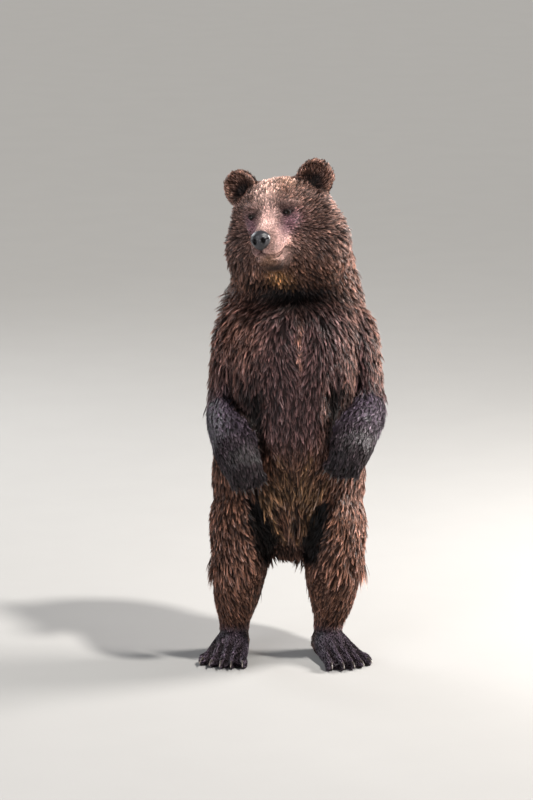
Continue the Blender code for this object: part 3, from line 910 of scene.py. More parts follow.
@dataclass
class Skin:
    """The bear's one skin, drawn over all its flesh by the coat's depth inside it."""

    anatomy: Anatomy
    nodes: dict
    voxel: float = 0.0066
    smoothing: int = 22
    kept_share: float = 0.55
    muzzle_depth: float = 0.0025
    sole_depth: float = 0.010
    snap: float = 0.0008

    def build(self) -> bpy.types.Object:
        """The skin as a finished piece.

        Returns:
            The piece.
        """
        mesh = self.refined(self.fused())
        self.graph = Graph(mesh)
        self.settle()
        self.sculpt()
        mesh.vertices.foreach_set("co", self.graph.points.astype(np.float32).ravel())
        mesh.update()
        self.normals = self.graph.normals()
        self.head = self.anatomy.in_head(self.graph.points)
        return self.thinned(mesh)

    def thinned(self, mesh: bpy.types.Mesh) -> bpy.types.Object:
        """The skin with fewer faces where it is plain and the coat hides it.

        Args:
            mesh: The finished skin's mesh.

        Returns:
            The piece.
        """
        item = linked("skin", mesh)
        group = item.vertex_groups.new(name="plain")
        kept = np.isin(self.kinds, ("hind_foot", "forepaw", "ear")) | (self.head[:, 1] < -0.08)
        group.add(np.flatnonzero(~kept).tolist(), 1.0, "REPLACE")
        thin = item.modifiers.new("thin", "DECIMATE")
        thin.ratio = self.kept_share
        thin.vertex_group = group.name
        thin.use_collapse_triangulate = True
        made = evaluated(item)
        made.name = "skin"
        made.shade_smooth()
        return linked("skin", made)

    def sampled(self, mesh: bpy.types.Mesh) -> Rows:
        """The graph's point nearest to each of a mesh's points."""
        tree = search_tree(self.graph.points)
        return np.array([tree.find(vertex.co)[1] for vertex in mesh.vertices])

    def fused(self) -> bpy.types.Mesh:
        """All the flesh as one closed mesh.

        Returns:
            The mesh.
        """
        form = bmesh.new()
        for name in (*FLESH, "nose", *(f"{side}_eye" for side in SIDES)):
            form.from_mesh(self.nodes[name].data)
        bmesh.ops.remove_doubles(form, verts=form.verts, dist=1e-5)
        item = linked("skin_source", mesh_of(form, "skin"))
        remesh = item.modifiers.new("fuse", "REMESH")
        remesh.mode = "VOXEL"
        remesh.voxel_size = self.voxel
        return evaluated(item)

    def refined(self, mesh: bpy.types.Mesh) -> bpy.types.Mesh:
        """The mesh with smaller faces on the face, and smaller still round the eyes and lips.

        Args:
            mesh: The fused mesh.

        Returns:
            The refined mesh.
        """
        form = bmesh.new()
        form.from_mesh(mesh)
        bmesh.ops.delete(form, geom=self.strays(form), context="VERTS")
        for finer in (self.on_face, self.on_lids, lambda rows: self.from_eyes(rows) < 0.021):
            places = np.array([face.calc_center_median() for face in form.faces])
            chosen = finer(self.anatomy.in_head(places))
            form.faces.ensure_lookup_table()
            edges = {edge for i in np.flatnonzero(chosen) for edge in form.faces[i].edges}
            edges = sorted(edges, key=lambda edge: edge.index)
            bmesh.ops.subdivide_edges(form, edges=edges, cuts=1, use_grid_fill=True)
            form.faces.index_update()
            form.edges.index_update()
        bmesh.ops.triangulate(form, faces=[face for face in form.faces if len(face.verts) > 4])
        form.to_mesh(mesh)
        form.free()
        return mesh

    @staticmethod
    def strays(form: bmesh.types.BMesh) -> list:
        """The points that don't belong to the largest body of the form.

        Args:
            form: The form.

        Returns:
            The points.
        """
        left = set(form.verts)
        bodies = []
        while left:
            body = [left.pop()]
            for found in body:
                fresh = {edge.other_vert(found) for edge in found.link_edges} & left
                left -= fresh
                body.extend(fresh)
            bodies.append(body)
        bodies.sort(key=len)
        LOG.info("skin bodies: %s", [len(body) for body in bodies])
        return [vertex for body in bodies[:-1] for vertex in body]

    def on_face(self, rows: Rows) -> Rows:
        """Whether a place in the head's frame is on the face or an ear.

        Args:
            rows: The places.

        Returns:
            True or false for each.
        """
        face = (rows[:, 1] < -0.03) & (np.abs(rows[:, 0]) < 0.15)
        ears = (rows[:, 2] > 0.05) & (np.abs(rows[:, 0]) > 0.09)
        return (face | ears) & (rows[:, 2] < 0.30) & (rows[:, 2] > -0.24)

    def from_eyes(self, rows: Rows) -> Rows:
        """How far places in the head's frame are from the nearer eye."""
        eyes = [self.anatomy.in_head(eye[None]) for eye in self.anatomy.eyes.values()]
        return np.min([np.linalg.norm(rows - eye, axis=1) for eye in eyes], axis=0)

    def on_lids(self, rows: Rows) -> Rows:
        """Whether a place in the head's frame is by an eye or the lips."""
        lips = [line_distance(rows, FACE.mouth_line(side))[0] for side in SIDES.values()]
        return (self.from_eyes(rows) < 0.032) | (np.min(lips, axis=0) < 0.016)

    def settle(self) -> None:
        """Smooths the body and draws it in by the coat's depth."""
        graph = self.graph
        head = self.anatomy.in_head(graph.points)
        self.parts = self.anatomy.parts(graph.points)
        self.kinds = np.array(KINDS)[self.parts]
        fine = np.isin(self.kinds, ("ear", "lower_jaw", "hind_foot", "forepaw"))
        fine |= (self.kinds == "head") & (head[:, 1] < -0.10)
        graph.smooth(self.smoothing, graph.spread(np.where(fine, 0.12, 1.0), 8))
        depth = np.array([COATS[kind].depth for kind in KINDS])[self.parts]
        muzzle = rise(-0.10, -0.20, head[:, 1]) * (self.kinds == "head")
        depth = depth + (self.muzzle_depth - depth) * muzzle
        graph.points -= graph.normals() * graph.spread(depth, 24)[:, None]
        self.shape_body()
        low = graph.points[:, 2] < self.sole_depth
        graph.points[low, 2] = 0
        self.snap_lips()

    def shape_body(self) -> None:
        """Deepens the furrows: beside the arms, under the ruff, and between the toes."""
        graph, anatomy = self.graph, self.anatomy
        points = graph.points
        normals = graph.normals()
        body = points - anatomy.shift
        head = anatomy.in_head(points)
        trunk = np.isin(self.kinds, ("chest", "belly")).astype(float)
        self.furrows = anatomy.furrows(points, self.kinds)
        push = 0.030 * trunk * anatomy.beside_arms(points, 0.145, 0.085)
        push *= rise(0.05, -0.05, body[:, 1]) * rise(1.20, 1.10, body[:, 2])
        for x, z in ((-0.122, 1.010), (0.162, 1.035)):
            push = np.maximum(push, 0.034 * trunk * near(body, (x, -0.20, z), (0.032, 0.2, 0.09)))
        throat = np.isin(self.kinds, ("neck", "chest", "upper_arm")) * rise(0.19, 0.12, np.abs(body[:, 0]))
        throat = throat * np.exp(-(((head[:, 2] + 0.310) / 0.042) ** 2)) * rise(0.16, 0.04, head[:, 1])
        inward = 0.016 * self.furrows + 0.026 * throat
        for depth, centre, radii in (
            *((0.016, centre, radii) for centre, radii in HOLLOWS),
            (-0.030, (0.028, -0.19, 0.580), (0.015, 0.08, 0.050)),
            (-0.007, (0.250, -0.27, 0.962), (0.05, 0.05, 0.014)),
            (0.006, (0.262, -0.25, 1.000), (0.05, 0.05, 0.016)),
        ):
            inward += depth * near(body, centre, radii)
        points -= normals * graph.spread(inward, 2)[:, None]
        points[:, 1] += graph.spread(push, 6)

    def snap_lips(self) -> None:
        """Lays the lips' lines on the skin, with three steps to each span."""
        rows = self.anatomy.in_head(self.graph.points)
        tree = search_tree(rows[(rows[:, 1] < -0.10) & (rows[:, 2] < -0.08)])
        for side in SIDES.values():
            line = FACE.mouth_line(side)
            steps = [a + (b - a) * step / 3 for a, b in zip(line, line[1:]) for step in range(3)]
            self.anatomy.mouth[side] = np.array([tree.find(row)[0] for row in (*steps, line[-1])])

    def sculpt(self) -> None:
        """Adds the forms of the face: sockets, lids, lips and the skin behind the nose."""
        graph, anatomy = self.graph, self.anatomy
        rows = anatomy.in_head(graph.points)
        normals = graph.normals() @ anatomy.turn
        rows += normals * self.relief(rows)[:, None]
        self.bare = np.zeros(len(rows))
        for side in SIDES.values():
            self.shape_lids(rows, anatomy.in_head(anatomy.eyes[side][None])[0], side)
        inside = anatomy.in_nose(rows)
        scale = 0.93 - 0.55 * rise(0.010, -0.010, rows[:, 1] - HEAD.nose[1])
        seat = np.array(HEAD.nose) + (rows - HEAD.nose) * (scale / np.maximum(inside, 0.3))[:, None]
        under = (inside < 1.15) & (rows[:, 1] < HEAD.nose[1] + 0.016)
        rows[under] = seat[under]
        graph.points = anatomy.from_head(rows) + anatomy.head

    def relief(self, rows: Rows) -> Rows:
        """How far the face's forms stand out from the plain surface.

        Args:
            rows: Places in the head's frame.

        Returns:
            The height at each place.
        """
        height = np.zeros(len(rows))
        for side in SIDES.values():
            lips, _, along = line_distance(rows, self.anatomy.mouth[side])
            height -= 0.0115 * np.exp(-((lips / 0.0055) ** 2)) * rise(1.0, 0.85, along)
            swell = line_distance(rows - (0, 0, -0.013), self.anatomy.mouth[side])[0]
            height += 0.0025 * np.exp(-((swell / 0.007) ** 2))
            for form, (across, forward, up), radii in FACE_FORMS:
                height += form * near(rows, (side * across, forward, up), radii)
        height -= 0.0030 * near(rows, (0, -0.14, 0.045), (0.008, 0.05, 0.050))
        height -= 0.0035 * near(rows, (0, -0.300, -0.143), (0.0035, 0.03, 0.012))
        return height

    def pads(self) -> Rows:
        """Where the soles and palms are bare leather.

        Returns:
            A share for each point.
        """
        points = self.graph.points
        bare = (self.kinds == "hind_foot") * rise(self.sole_depth, 0.004, points[:, 2])
        for name in SIDES:
            paw = self.anatomy.paw(name)
            turn = np.array(paw.to_3x3())
            local = (points - np.array(paw.translation)) @ turn
            facing = (self.normals @ turn)[:, 1]
            palm = (self.parts == FLESH.index(f"{name}_forepaw")) * rise(0.35, 0.75, facing)
            bare = np.maximum(bare, palm * rise(0.075, 0.055, local[:, 2]))
        return bare

    def shape_lids(self, rows: Rows, eye: Rows, side: int) -> None:
        """Lays the skin round an eye over the eyeball as two lids with a slit between them.

        Args:
            rows: The skin's points in the head's frame, which are changed.
            eye: The eyeball's centre.
            side: 1 for the bear's left, -1 for its right.
        """
        out = unit(np.array(FACE.eye_out) * (side, 1, 1))
        upright = np.array(FACE.eye_up) * (side, 1, 1)
        up = unit(upright - out * (upright @ out))
        across = np.cross(up, out) * side
        offset = rows - eye
        local = np.stack([offset @ across, offset @ up, offset @ out], axis=1)
        wide = np.abs(local[:, 0]) / FACE.slit_half_width
        edge = FACE.slit_half_height * (1 - np.minimum(wide, 1) ** 2)
        rim = np.abs(local[:, 1])
        on_edge = (local[:, 2] > 0) & (wide < 0.97) & (np.abs(rim - edge) < self.snap)
        shift = np.where(on_edge, np.sign(local[:, 1]) * (edge - rim), 0)
        local[:, 1] += shift
        rows += shift[:, None] * up
        beyond = np.hypot(np.maximum(wide - 1, 0) * FACE.slit_half_width, local[:, 1])
        gap = np.where(wide < 1, np.abs(local[:, 1]) - edge, beyond)
        reach = np.hypot(local[:, 0], local[:, 1])
        ball = np.maximum(FACE.eye_radius**2 - reach**2, 0) ** 0.5
        lid = np.maximum((FACE.eye_radius + FACE.lid) ** 2 - reach**2, 0) ** 0.5
        lid -= 0.0016 * np.exp(-(((gap - 0.0075) / 0.0022) ** 2))
        facing = (local[:, 2] > -0.004) & (reach < 0.034)
        share = np.exp(-((np.maximum(gap, 0) / 0.0085) ** 2)) * rise(0.016, 0.012, reach)
        height = local[:, 2] * (1 - share) + np.maximum(lid, local[:, 2] * 0.6) * share
        height = np.where((gap < -1e-6) & (reach < 0.0125), ball - FACE.eye_sunk, height)
        rows += np.where(facing, height - local[:, 2], 0)[:, None] * out
        self.bare = np.maximum(self.bare, facing * rise(0.0065, 0.0025, gap))


@dataclass
class Hair:
    """The hair at some places of the skin: where it grows, its own colour and its tips' colour."""

    points: Rows
    normals: Rows
    kinds: Rows
    tone: Rows
    tips: Rows

    def lay(self, share: Rows, colour: Rows, gain: float, at_tips: Rows | None = None) -> None:
        """Lays a colour over the hair.

        Args:
            share: How strongly, at each place.
            colour: The colour.
            gain: How much lighter it is at the tips.
            at_tips: How strongly at the tips, if that differs.
        """
        self.tone = blend(self.tone, colour, share)
        self.tips = blend(self.tips, colour * gain, share if at_tips is None else at_tips)


class Markings:
    """The colours that skin and coat share, from where a hair grows, with painted light and shade among
    them.
    """

    brown = np.array((0.096, 0.044, 0.028))
    chest = np.array((0.064, 0.033, 0.032))
    russet = np.array((0.180, 0.086, 0.060))
    dark = np.array((0.014, 0.009, 0.008))
    # Black fur. Its bluish cast, and the lilac tips that limbs() gives it, are partly painted sheen of the
    # wet fur.
    black = np.array((0.033, 0.025, 0.036))
    face = np.array((0.098, 0.052, 0.040))
    frost = np.array((0.560, 0.370, 0.310))
    tan = np.array((0.560, 0.340, 0.290))
    plum = np.array((0.115, 0.052, 0.070))
    belly = np.array((0.118, 0.064, 0.032))
    ginger = np.array((0.380, 0.185, 0.065))
    pad = np.array((0.060, 0.048, 0.045))
    # Painted sunlight: the pale tips of the flank that faces the key light.
    painted_sunlit_tips = np.array((0.50, 0.31, 0.26))
    ear_rim = np.array((0.46, 0.28, 0.21))
    seams = (
        (((-0.118, 0.705), (-0.086, 0.62), (-0.050, 0.54), (-0.016, 0.47)), 0.009, 2.2),
        (((0.148, 0.745), (0.104, 0.66), (0.062, 0.57), (0.030, 0.50)), 0.009, 2.4),
        (((-0.050, 0.86), (-0.020, 0.78), (0.012, 0.71)), 0.007, 1.5),
        (((0.088, 0.86), (0.055, 0.78), (0.022, 0.71)), 0.007, 1.5),
    )

    def __init__(self, anatomy: Anatomy) -> None:
        """Keeps the anatomy."""
        self.anatomy = anatomy

    def tones(self, points: Rows, normals: Rows, kinds: Rows) -> tuple[Rows, Rows]:
        """The colours at the root half and at the tips of the hair that grows at each place.

        Args:
            points: The places.
            normals: The skin's directions there.
            kinds: The kind of part at each place.

        Returns:
            The hair's own colour, and the colour of its tip.
        """
        z = (points - self.anatomy.shift)[:, 2]
        chest = rise(-0.1, 0.6, -normals[:, 1]) * rise(0.80, 0.95, z) * rise(1.50, 1.35, z)
        tone = blend(np.tile(self.brown, (len(points), 1)), self.chest, chest)
        # Painted sunlight: russet laid on the sides that face +x, towards the key light. Then russet on
        # both flanks and on the back.
        tone = blend(tone, self.russet, 0.42 * rise(0.45, 1.0, normals[:, 0]))
        tone = blend(tone, self.russet, 0.20 * rise(0.3, 0.9, np.abs(normals[:, 0])))
        tone = blend(tone, self.russet, 0.30 * rise(0.2, 0.9, normals[:, 1]))
        # Painted sunlight: paler tips on the flank that faces the key light.
        painted_sunlight = rise(0.45, 1.0, normals[:, 0]) * rise(0.55, 0.75, z) * rise(1.60, 1.45, z)
        tips = blend(tone * 1.9, self.painted_sunlit_tips, 0.28 * painted_sunlight)
        hair = Hair(points, normals, kinds, tone, tips)
        self.trunk(hair)
        self.limbs(hair)
        self.head(hair)
        return hair.tone, hair.tips

    def trunk(self, hair: Hair) -> None:
        """Colours the trunk: russet shoulder, partly painted light, and thighs, patches, some of them
        painted shade, seams, and painted shade beside the arms and between the thighs.

        Args:
            hair: The hair to colour.
        """
        body = hair.points - self.anatomy.shift
        x, _, z = body.T
        front = rise(-0.1, 0.6, -hair.normals[:, 1])
        facing = rise(0.35, -0.05, hair.normals[:, 1])
        # Russet on the bear's right shoulder: partly russet fur, and partly painted light where the key
        # leaves it in shade.
        shoulder = near(body, (-0.19, -0.06, 1.32), (0.09, 0.20, 0.14))
        hair.lay(0.75 * shoulder, self.russet * 1.2, 2.6 / 1.2)
        hair.lay(0.35 * (hair.kinds == "thigh") * facing, self.russet, 2.2)
        for centre, radii, colour, share in self.patches():
            hair.lay(np.clip(share * near(body, centre, radii) * facing, 0, 1), colour, 1.7)
        for line, width, gain in self.seams:
            flat = line_distance(body * (1, 0, 1), np.array([(a, 0, b) for a, b in line]))[0]
            hair.lay(0.85 * front * np.exp(-((flat / width) ** 2)), self.belly * gain, 1.7)
        trunk = np.isin(hair.kinds, ("chest", "belly", "neck"))
        # Painted shade: dark fur on the trunk beside the arms.
        gap = trunk * front * self.anatomy.beside_arms(hair.points, 0.150, 0.085) * rise(1.19, 1.12, z)
        hair.lay(0.9 * gap, self.dark, 2.0, 0.85 * gap)
        # Painted shade: darker low between the thighs.
        inner = (1 - rise(0.04, 0.10, np.abs(x + 0.020))) * rise(-0.13, -0.09, hair.points[:, 1])
        inner = inner * rise(0.56, 0.46, z) * rise(0.24, 0.34, z)
        hair.lay(0.40 * inner, self.dark, 2.2, 0.35 * inner)

    def patches(self) -> tuple:
        """The trunk's patches, some of them painted shade and painted highlight: each one's centre, radii,
        colour and strength.

        Returns:
            A tuple for each patch.
        """
        furrow = np.array((1.4, 1, 1.1))
        return (
            ((0.036, -0.235, 1.28), (0.009, 0.08, 0.085), self.russet * 2.2, 1.0),
            # Painted shadow: a dark band on the throat under the ruff.
            ((0.01, -0.14, 1.445), (0.20, 0.18, 0.062), self.dark, 1.0),
            ((0.01, -0.16, 1.435), (0.14, 0.14, 0.045), self.dark * 0.6, 0.9),
            ((0.065, -0.20, 0.72), (0.060, 0.13, 0.070), self.belly, 0.9),
            ((-0.035, -0.20, 0.72), (0.060, 0.13, 0.070), self.belly, 0.9),
            ((0.018, -0.20, 0.835), (0.045, 0.13, 0.045), self.dark, 0.5),
            ((0.017, -0.20, 0.765), (0.022, 0.13, 0.035), self.dark, 0.75),
            ((-0.080, -0.19, 0.660), (0.034, 0.12, 0.045), self.belly * 1.9, 0.9),
            ((0.085, -0.19, 0.670), (0.032, 0.12, 0.040), self.belly * 1.9, 0.9),
            # Painted shade in the hollows of the inner thighs.
            *((centre, furrow * radii, self.dark * 0.35, 2.6) for centre, radii in HOLLOWS),
            # Painted shade: beside the arms, and under the fringe of the upper arms.
            ((-0.122, -0.20, 1.005), (0.030, 0.14, 0.085), self.dark * 0.5, 1.5),
            ((0.162, -0.20, 1.030), (0.028, 0.14, 0.085), self.dark * 0.5, 1.5),
            ((-0.150, -0.17, 1.085), (0.050, 0.12, 0.030), self.dark * 0.6, 1.2),
            ((0.180, -0.16, 1.090), (0.045, 0.12, 0.030), self.dark * 0.6, 1.2),
            # Painted shade: between the thighs.
            ((0.000, -0.16, 0.50), (0.030, 0.09, 0.050), self.dark, 0.6),
            ((0.029, -0.19, 0.59), (0.012, 0.08, 0.055), self.dark, 0.9),
            # Painted highlights: sunlit rims on either side of the tuft.
            ((0.012, -0.19, 0.60), (0.007, 0.08, 0.060), self.belly * 2.0, 0.8),
            ((0.046, -0.19, 0.60), (0.006, 0.08, 0.055), self.belly * 2.2, 0.8),
        )

    def limbs(self, hair: Hair) -> None:
        """Colours the dark forearms, paws and feet, with russet heels, lilac tips that are partly painted
        highlight, painted shade in the furrows between the toes, and a painted highlight along each toe.

        Args:
            hair: The hair to colour.
        """
        points, kinds = hair.points, hair.kinds
        y, z = (points - self.anatomy.shift)[:, 1:].T
        arm = np.isin(kinds, ("upper_arm", "forearm", "forepaw"))
        furrows = self.anatomy.furrows(points, kinds)
        dark = np.zeros(len(points))
        # paw carries the dark paws, and also painted shade in the furrows between the toes.
        paw = 0.95 * furrows
        for side, sign in SIDES.items():
            mine = arm * (points[:, 0] * sign > 0)
            along = line_distance(points, self.anatomy.arm_line(side))[2]
            dark = np.maximum(dark, 0.93 * mine * rise(0.26, 0.44, along))
            paw = np.maximum(paw, 0.80 * mine * rise(0.52, 0.84, along))
        leg = np.isin(kinds, ("shank", "hind_foot")) * rise(0.17, 0.09, z)
        heel = leg * rise(-0.03, 0.05, y)
        # Black forearms and lower legs, with lilac tips that are partly painted sheen.
        hair.lay(np.maximum(dark, leg * (0.93 - 0.6 * heel)), self.black, 3.8)
        # Painted highlight along each toe of the hind feet.
        painted_toe_highlight = (kinds == "hind_foot") * rise(0.10, 0.06, z) * rise(0.12, 0.0, furrows)
        hair.tips = blend(hair.tips, self.black * 6.5, 0.45 * painted_toe_highlight * rise(0.02, -0.06, y))
        # Dark paws, with painted shade in the toes' furrows.
        hair.lay(paw, self.dark, 2)
        hair.lay(heel * 0.5, self.russet, 1.4)

    def head(self, hair: Hair) -> None:
        """Colours the face: frosted forehead and crown, partly painted light; pale muzzle with a painted
        highlight; painted rim light; dark sockets; plum below the eyes, partly painted shade; ginger
        beard; painted shadow under the chin and jaw; and the ears.

        Args:
            hair: The hair to colour.
        """
        rows = self.anatomy.in_head(hair.points)
        y, z = rows[:, 1:].T
        on = np.isin(hair.kinds, ("head", "lower_jaw")).astype(float)
        ear = (hair.kinds == "ear").astype(float)

        def spot(centre: Triple, radii: Triple, sides: Sequence[int] = (1,)) -> Rows:
            """A soft spot on the head, on one side or on both."""
            found = sum(near(rows, np.array(centre) * (side, 1, 1), radii) for side in sides)
            return on * np.minimum(found, 1)

        both = tuple(SIDES.values())
        hair.lay((on + ear) * rise(-0.24, -0.12, z), self.face, 2.2)
        lips = self.anatomy.lip_gap(rows)
        # Frosted forehead and crown: partly frosted fur, and partly painted light on the lit forehead.
        brow_frost_and_light = spot((-0.010, -0.10, 0.072), (0.034, 0.10, 0.056))
        top_frost_and_light = spot((-0.028, -0.04, 0.14), (0.058, 0.10, 0.06))
        crown = spot((0.052, -0.07, 0.115), (0.045, 0.09, 0.050))
        # Painted rim light along the crown on the bear's left.
        painted_rim_light = spot((0.070, -0.035, 0.118), (0.038, 0.07, 0.028))
        flank = on * rise(-0.12, -0.17, y) * rise(-0.185, -0.150, z)
        side = spot((0.050, -0.215, -0.100), (0.020, 0.050, 0.048))
        # The muzzle's pale middle line: tan fur with a painted highlight where the key falls.
        bridge_tan_and_highlight = spot((0.002, -0.190, -0.034), (0.025, 0.065, 0.050))
        upper = on * rise(-0.17, -0.21, y) * rise(0.034, 0.010, lips) * (z > -0.175)
        chin = spot((0.004, -0.250, -0.166), (0.032, 0.050, 0.020))
        philtrum = spot((-0.012, -0.285, -0.143), (0.025, 0.035, 0.016))
        beard = spot((-0.018, -0.12, -0.248), (0.042, 0.08, 0.038))
        # Painted shadow: a dark band under the chin, above the beard.
        hem = spot((0.020, -0.205, -0.203), (0.056, 0.055, 0.018))
        socket = spot((0.082, -0.15, -0.030), (0.038, 0.06, 0.036), both)
        # Plum below each eye: partly plum fur, and partly painted shade in the hollow there.
        cheek = spot((0.064, -0.17, -0.062), (0.026, 0.045, 0.038), both)
        jowl = spot((0.060, -0.17, -0.190), (0.026, 0.045, 0.038), both)
        flews = spot((0.160, -0.07, -0.130), (0.050, 0.080, 0.090), both)
        corner = spot((0.062, -0.150, -0.112), (0.017, 0.026, 0.020))
        lids = spot((0.067, -0.155, -0.004), (0.024, 0.04, 0.013), both)
        seam = on * rise(0.0054, 0.0036, lips) * (0.30 + 0.70 * rise(-0.160, -0.190, y))
        for share, colour, gain in (
            # Frosted forehead and crown: partly frosted fur, and partly painted light.
            (1.20 * brow_frost_and_light, self.frost * 1.2, 1.5),
            (1.05 * top_frost_and_light, self.frost * 1.1, 1.8),
            (0.70 * crown, self.russet * (1.15, 1.05, 0.9), 1.7),
            # Painted rim light on the crown.
            (1.00 * painted_rim_light, self.frost * (0.95, 0.90, 0.80), 1.7),
            (0.80 * flank, self.tan * 0.50, 1.5),
            (0.75 * side, self.tan * (1.00, 1.00, 1.06), 1.3),
            # Tan down the muzzle's middle, with a painted highlight.
            (1.45 * bridge_tan_and_highlight, self.tan * (1.62, 1.72, 1.78), 1.15),
            (1.00 * upper, self.tan * 0.98, 1.4),
            (0.90 * chin, self.tan * (0.50, 0.44, 0.30), 1.5),
            (0.80 * philtrum, self.plum * 0.55, 1.6),
            (1.15 * beard, self.ginger, 1.7),
            # Painted shadow under the chin.
            (0.92 * hem, self.dark * 1.2, 1.6),
            (0.85 * socket, self.plum * 1.15, 1.7),
            # Plum below the eyes, partly painted shade.
            (0.70 * cheek, self.plum * 1.4, 1.6),
            (0.85 * jowl, self.face * 0.65, 2.0),
            (0.60 * flews, self.face * 0.65, 2.0),
            (1.00 * corner, self.tan * 1.55, 1.5),
            (0.90 * lids, self.dark, 2.0),
            (0.97 * seam, self.dark * 0.4, 1.2),
        ):
            hair.lay(np.clip(share, 0, 1), colour, gain)
        self.ears(hair)
        # Painted shade under the jaw.
        under = on * rise(-0.17, -0.27, z) * rise(0.02, -0.10, y)
        hair.tone = blend(hair.tone, self.dark, 0.35 * under)

    def ears(self, hair: Hair) -> None:
        """Colours the ears: dark inside, russet in front and pale round the rim.

        Args:
            hair: The hair to colour.
        """
        ear = (hair.kinds == "ear").astype(float)
        x, _, z = self.anatomy.in_head(hair.points).T
        forward = -(hair.normals @ self.anatomy.turn)[:, 1]
        away = np.hypot(np.abs(x) - 0.128, z - 0.082)
        hollow = ear * rise(0.1, 0.6, forward) * rise(0.062, 0.034, away)
        front = ear * rise(-0.3, 0.3, forward)
        hair.lay(0.6 * front, self.russet * 0.8, 2.3 / 0.8, 0.8 * front)
        hair.tips = blend(hair.tips, self.ear_rim, 0.40 * front * rise(0.036, 0.058, away))
        hair.lay(0.95 * hollow, self.dark, 2.2, 0.90 * hollow)


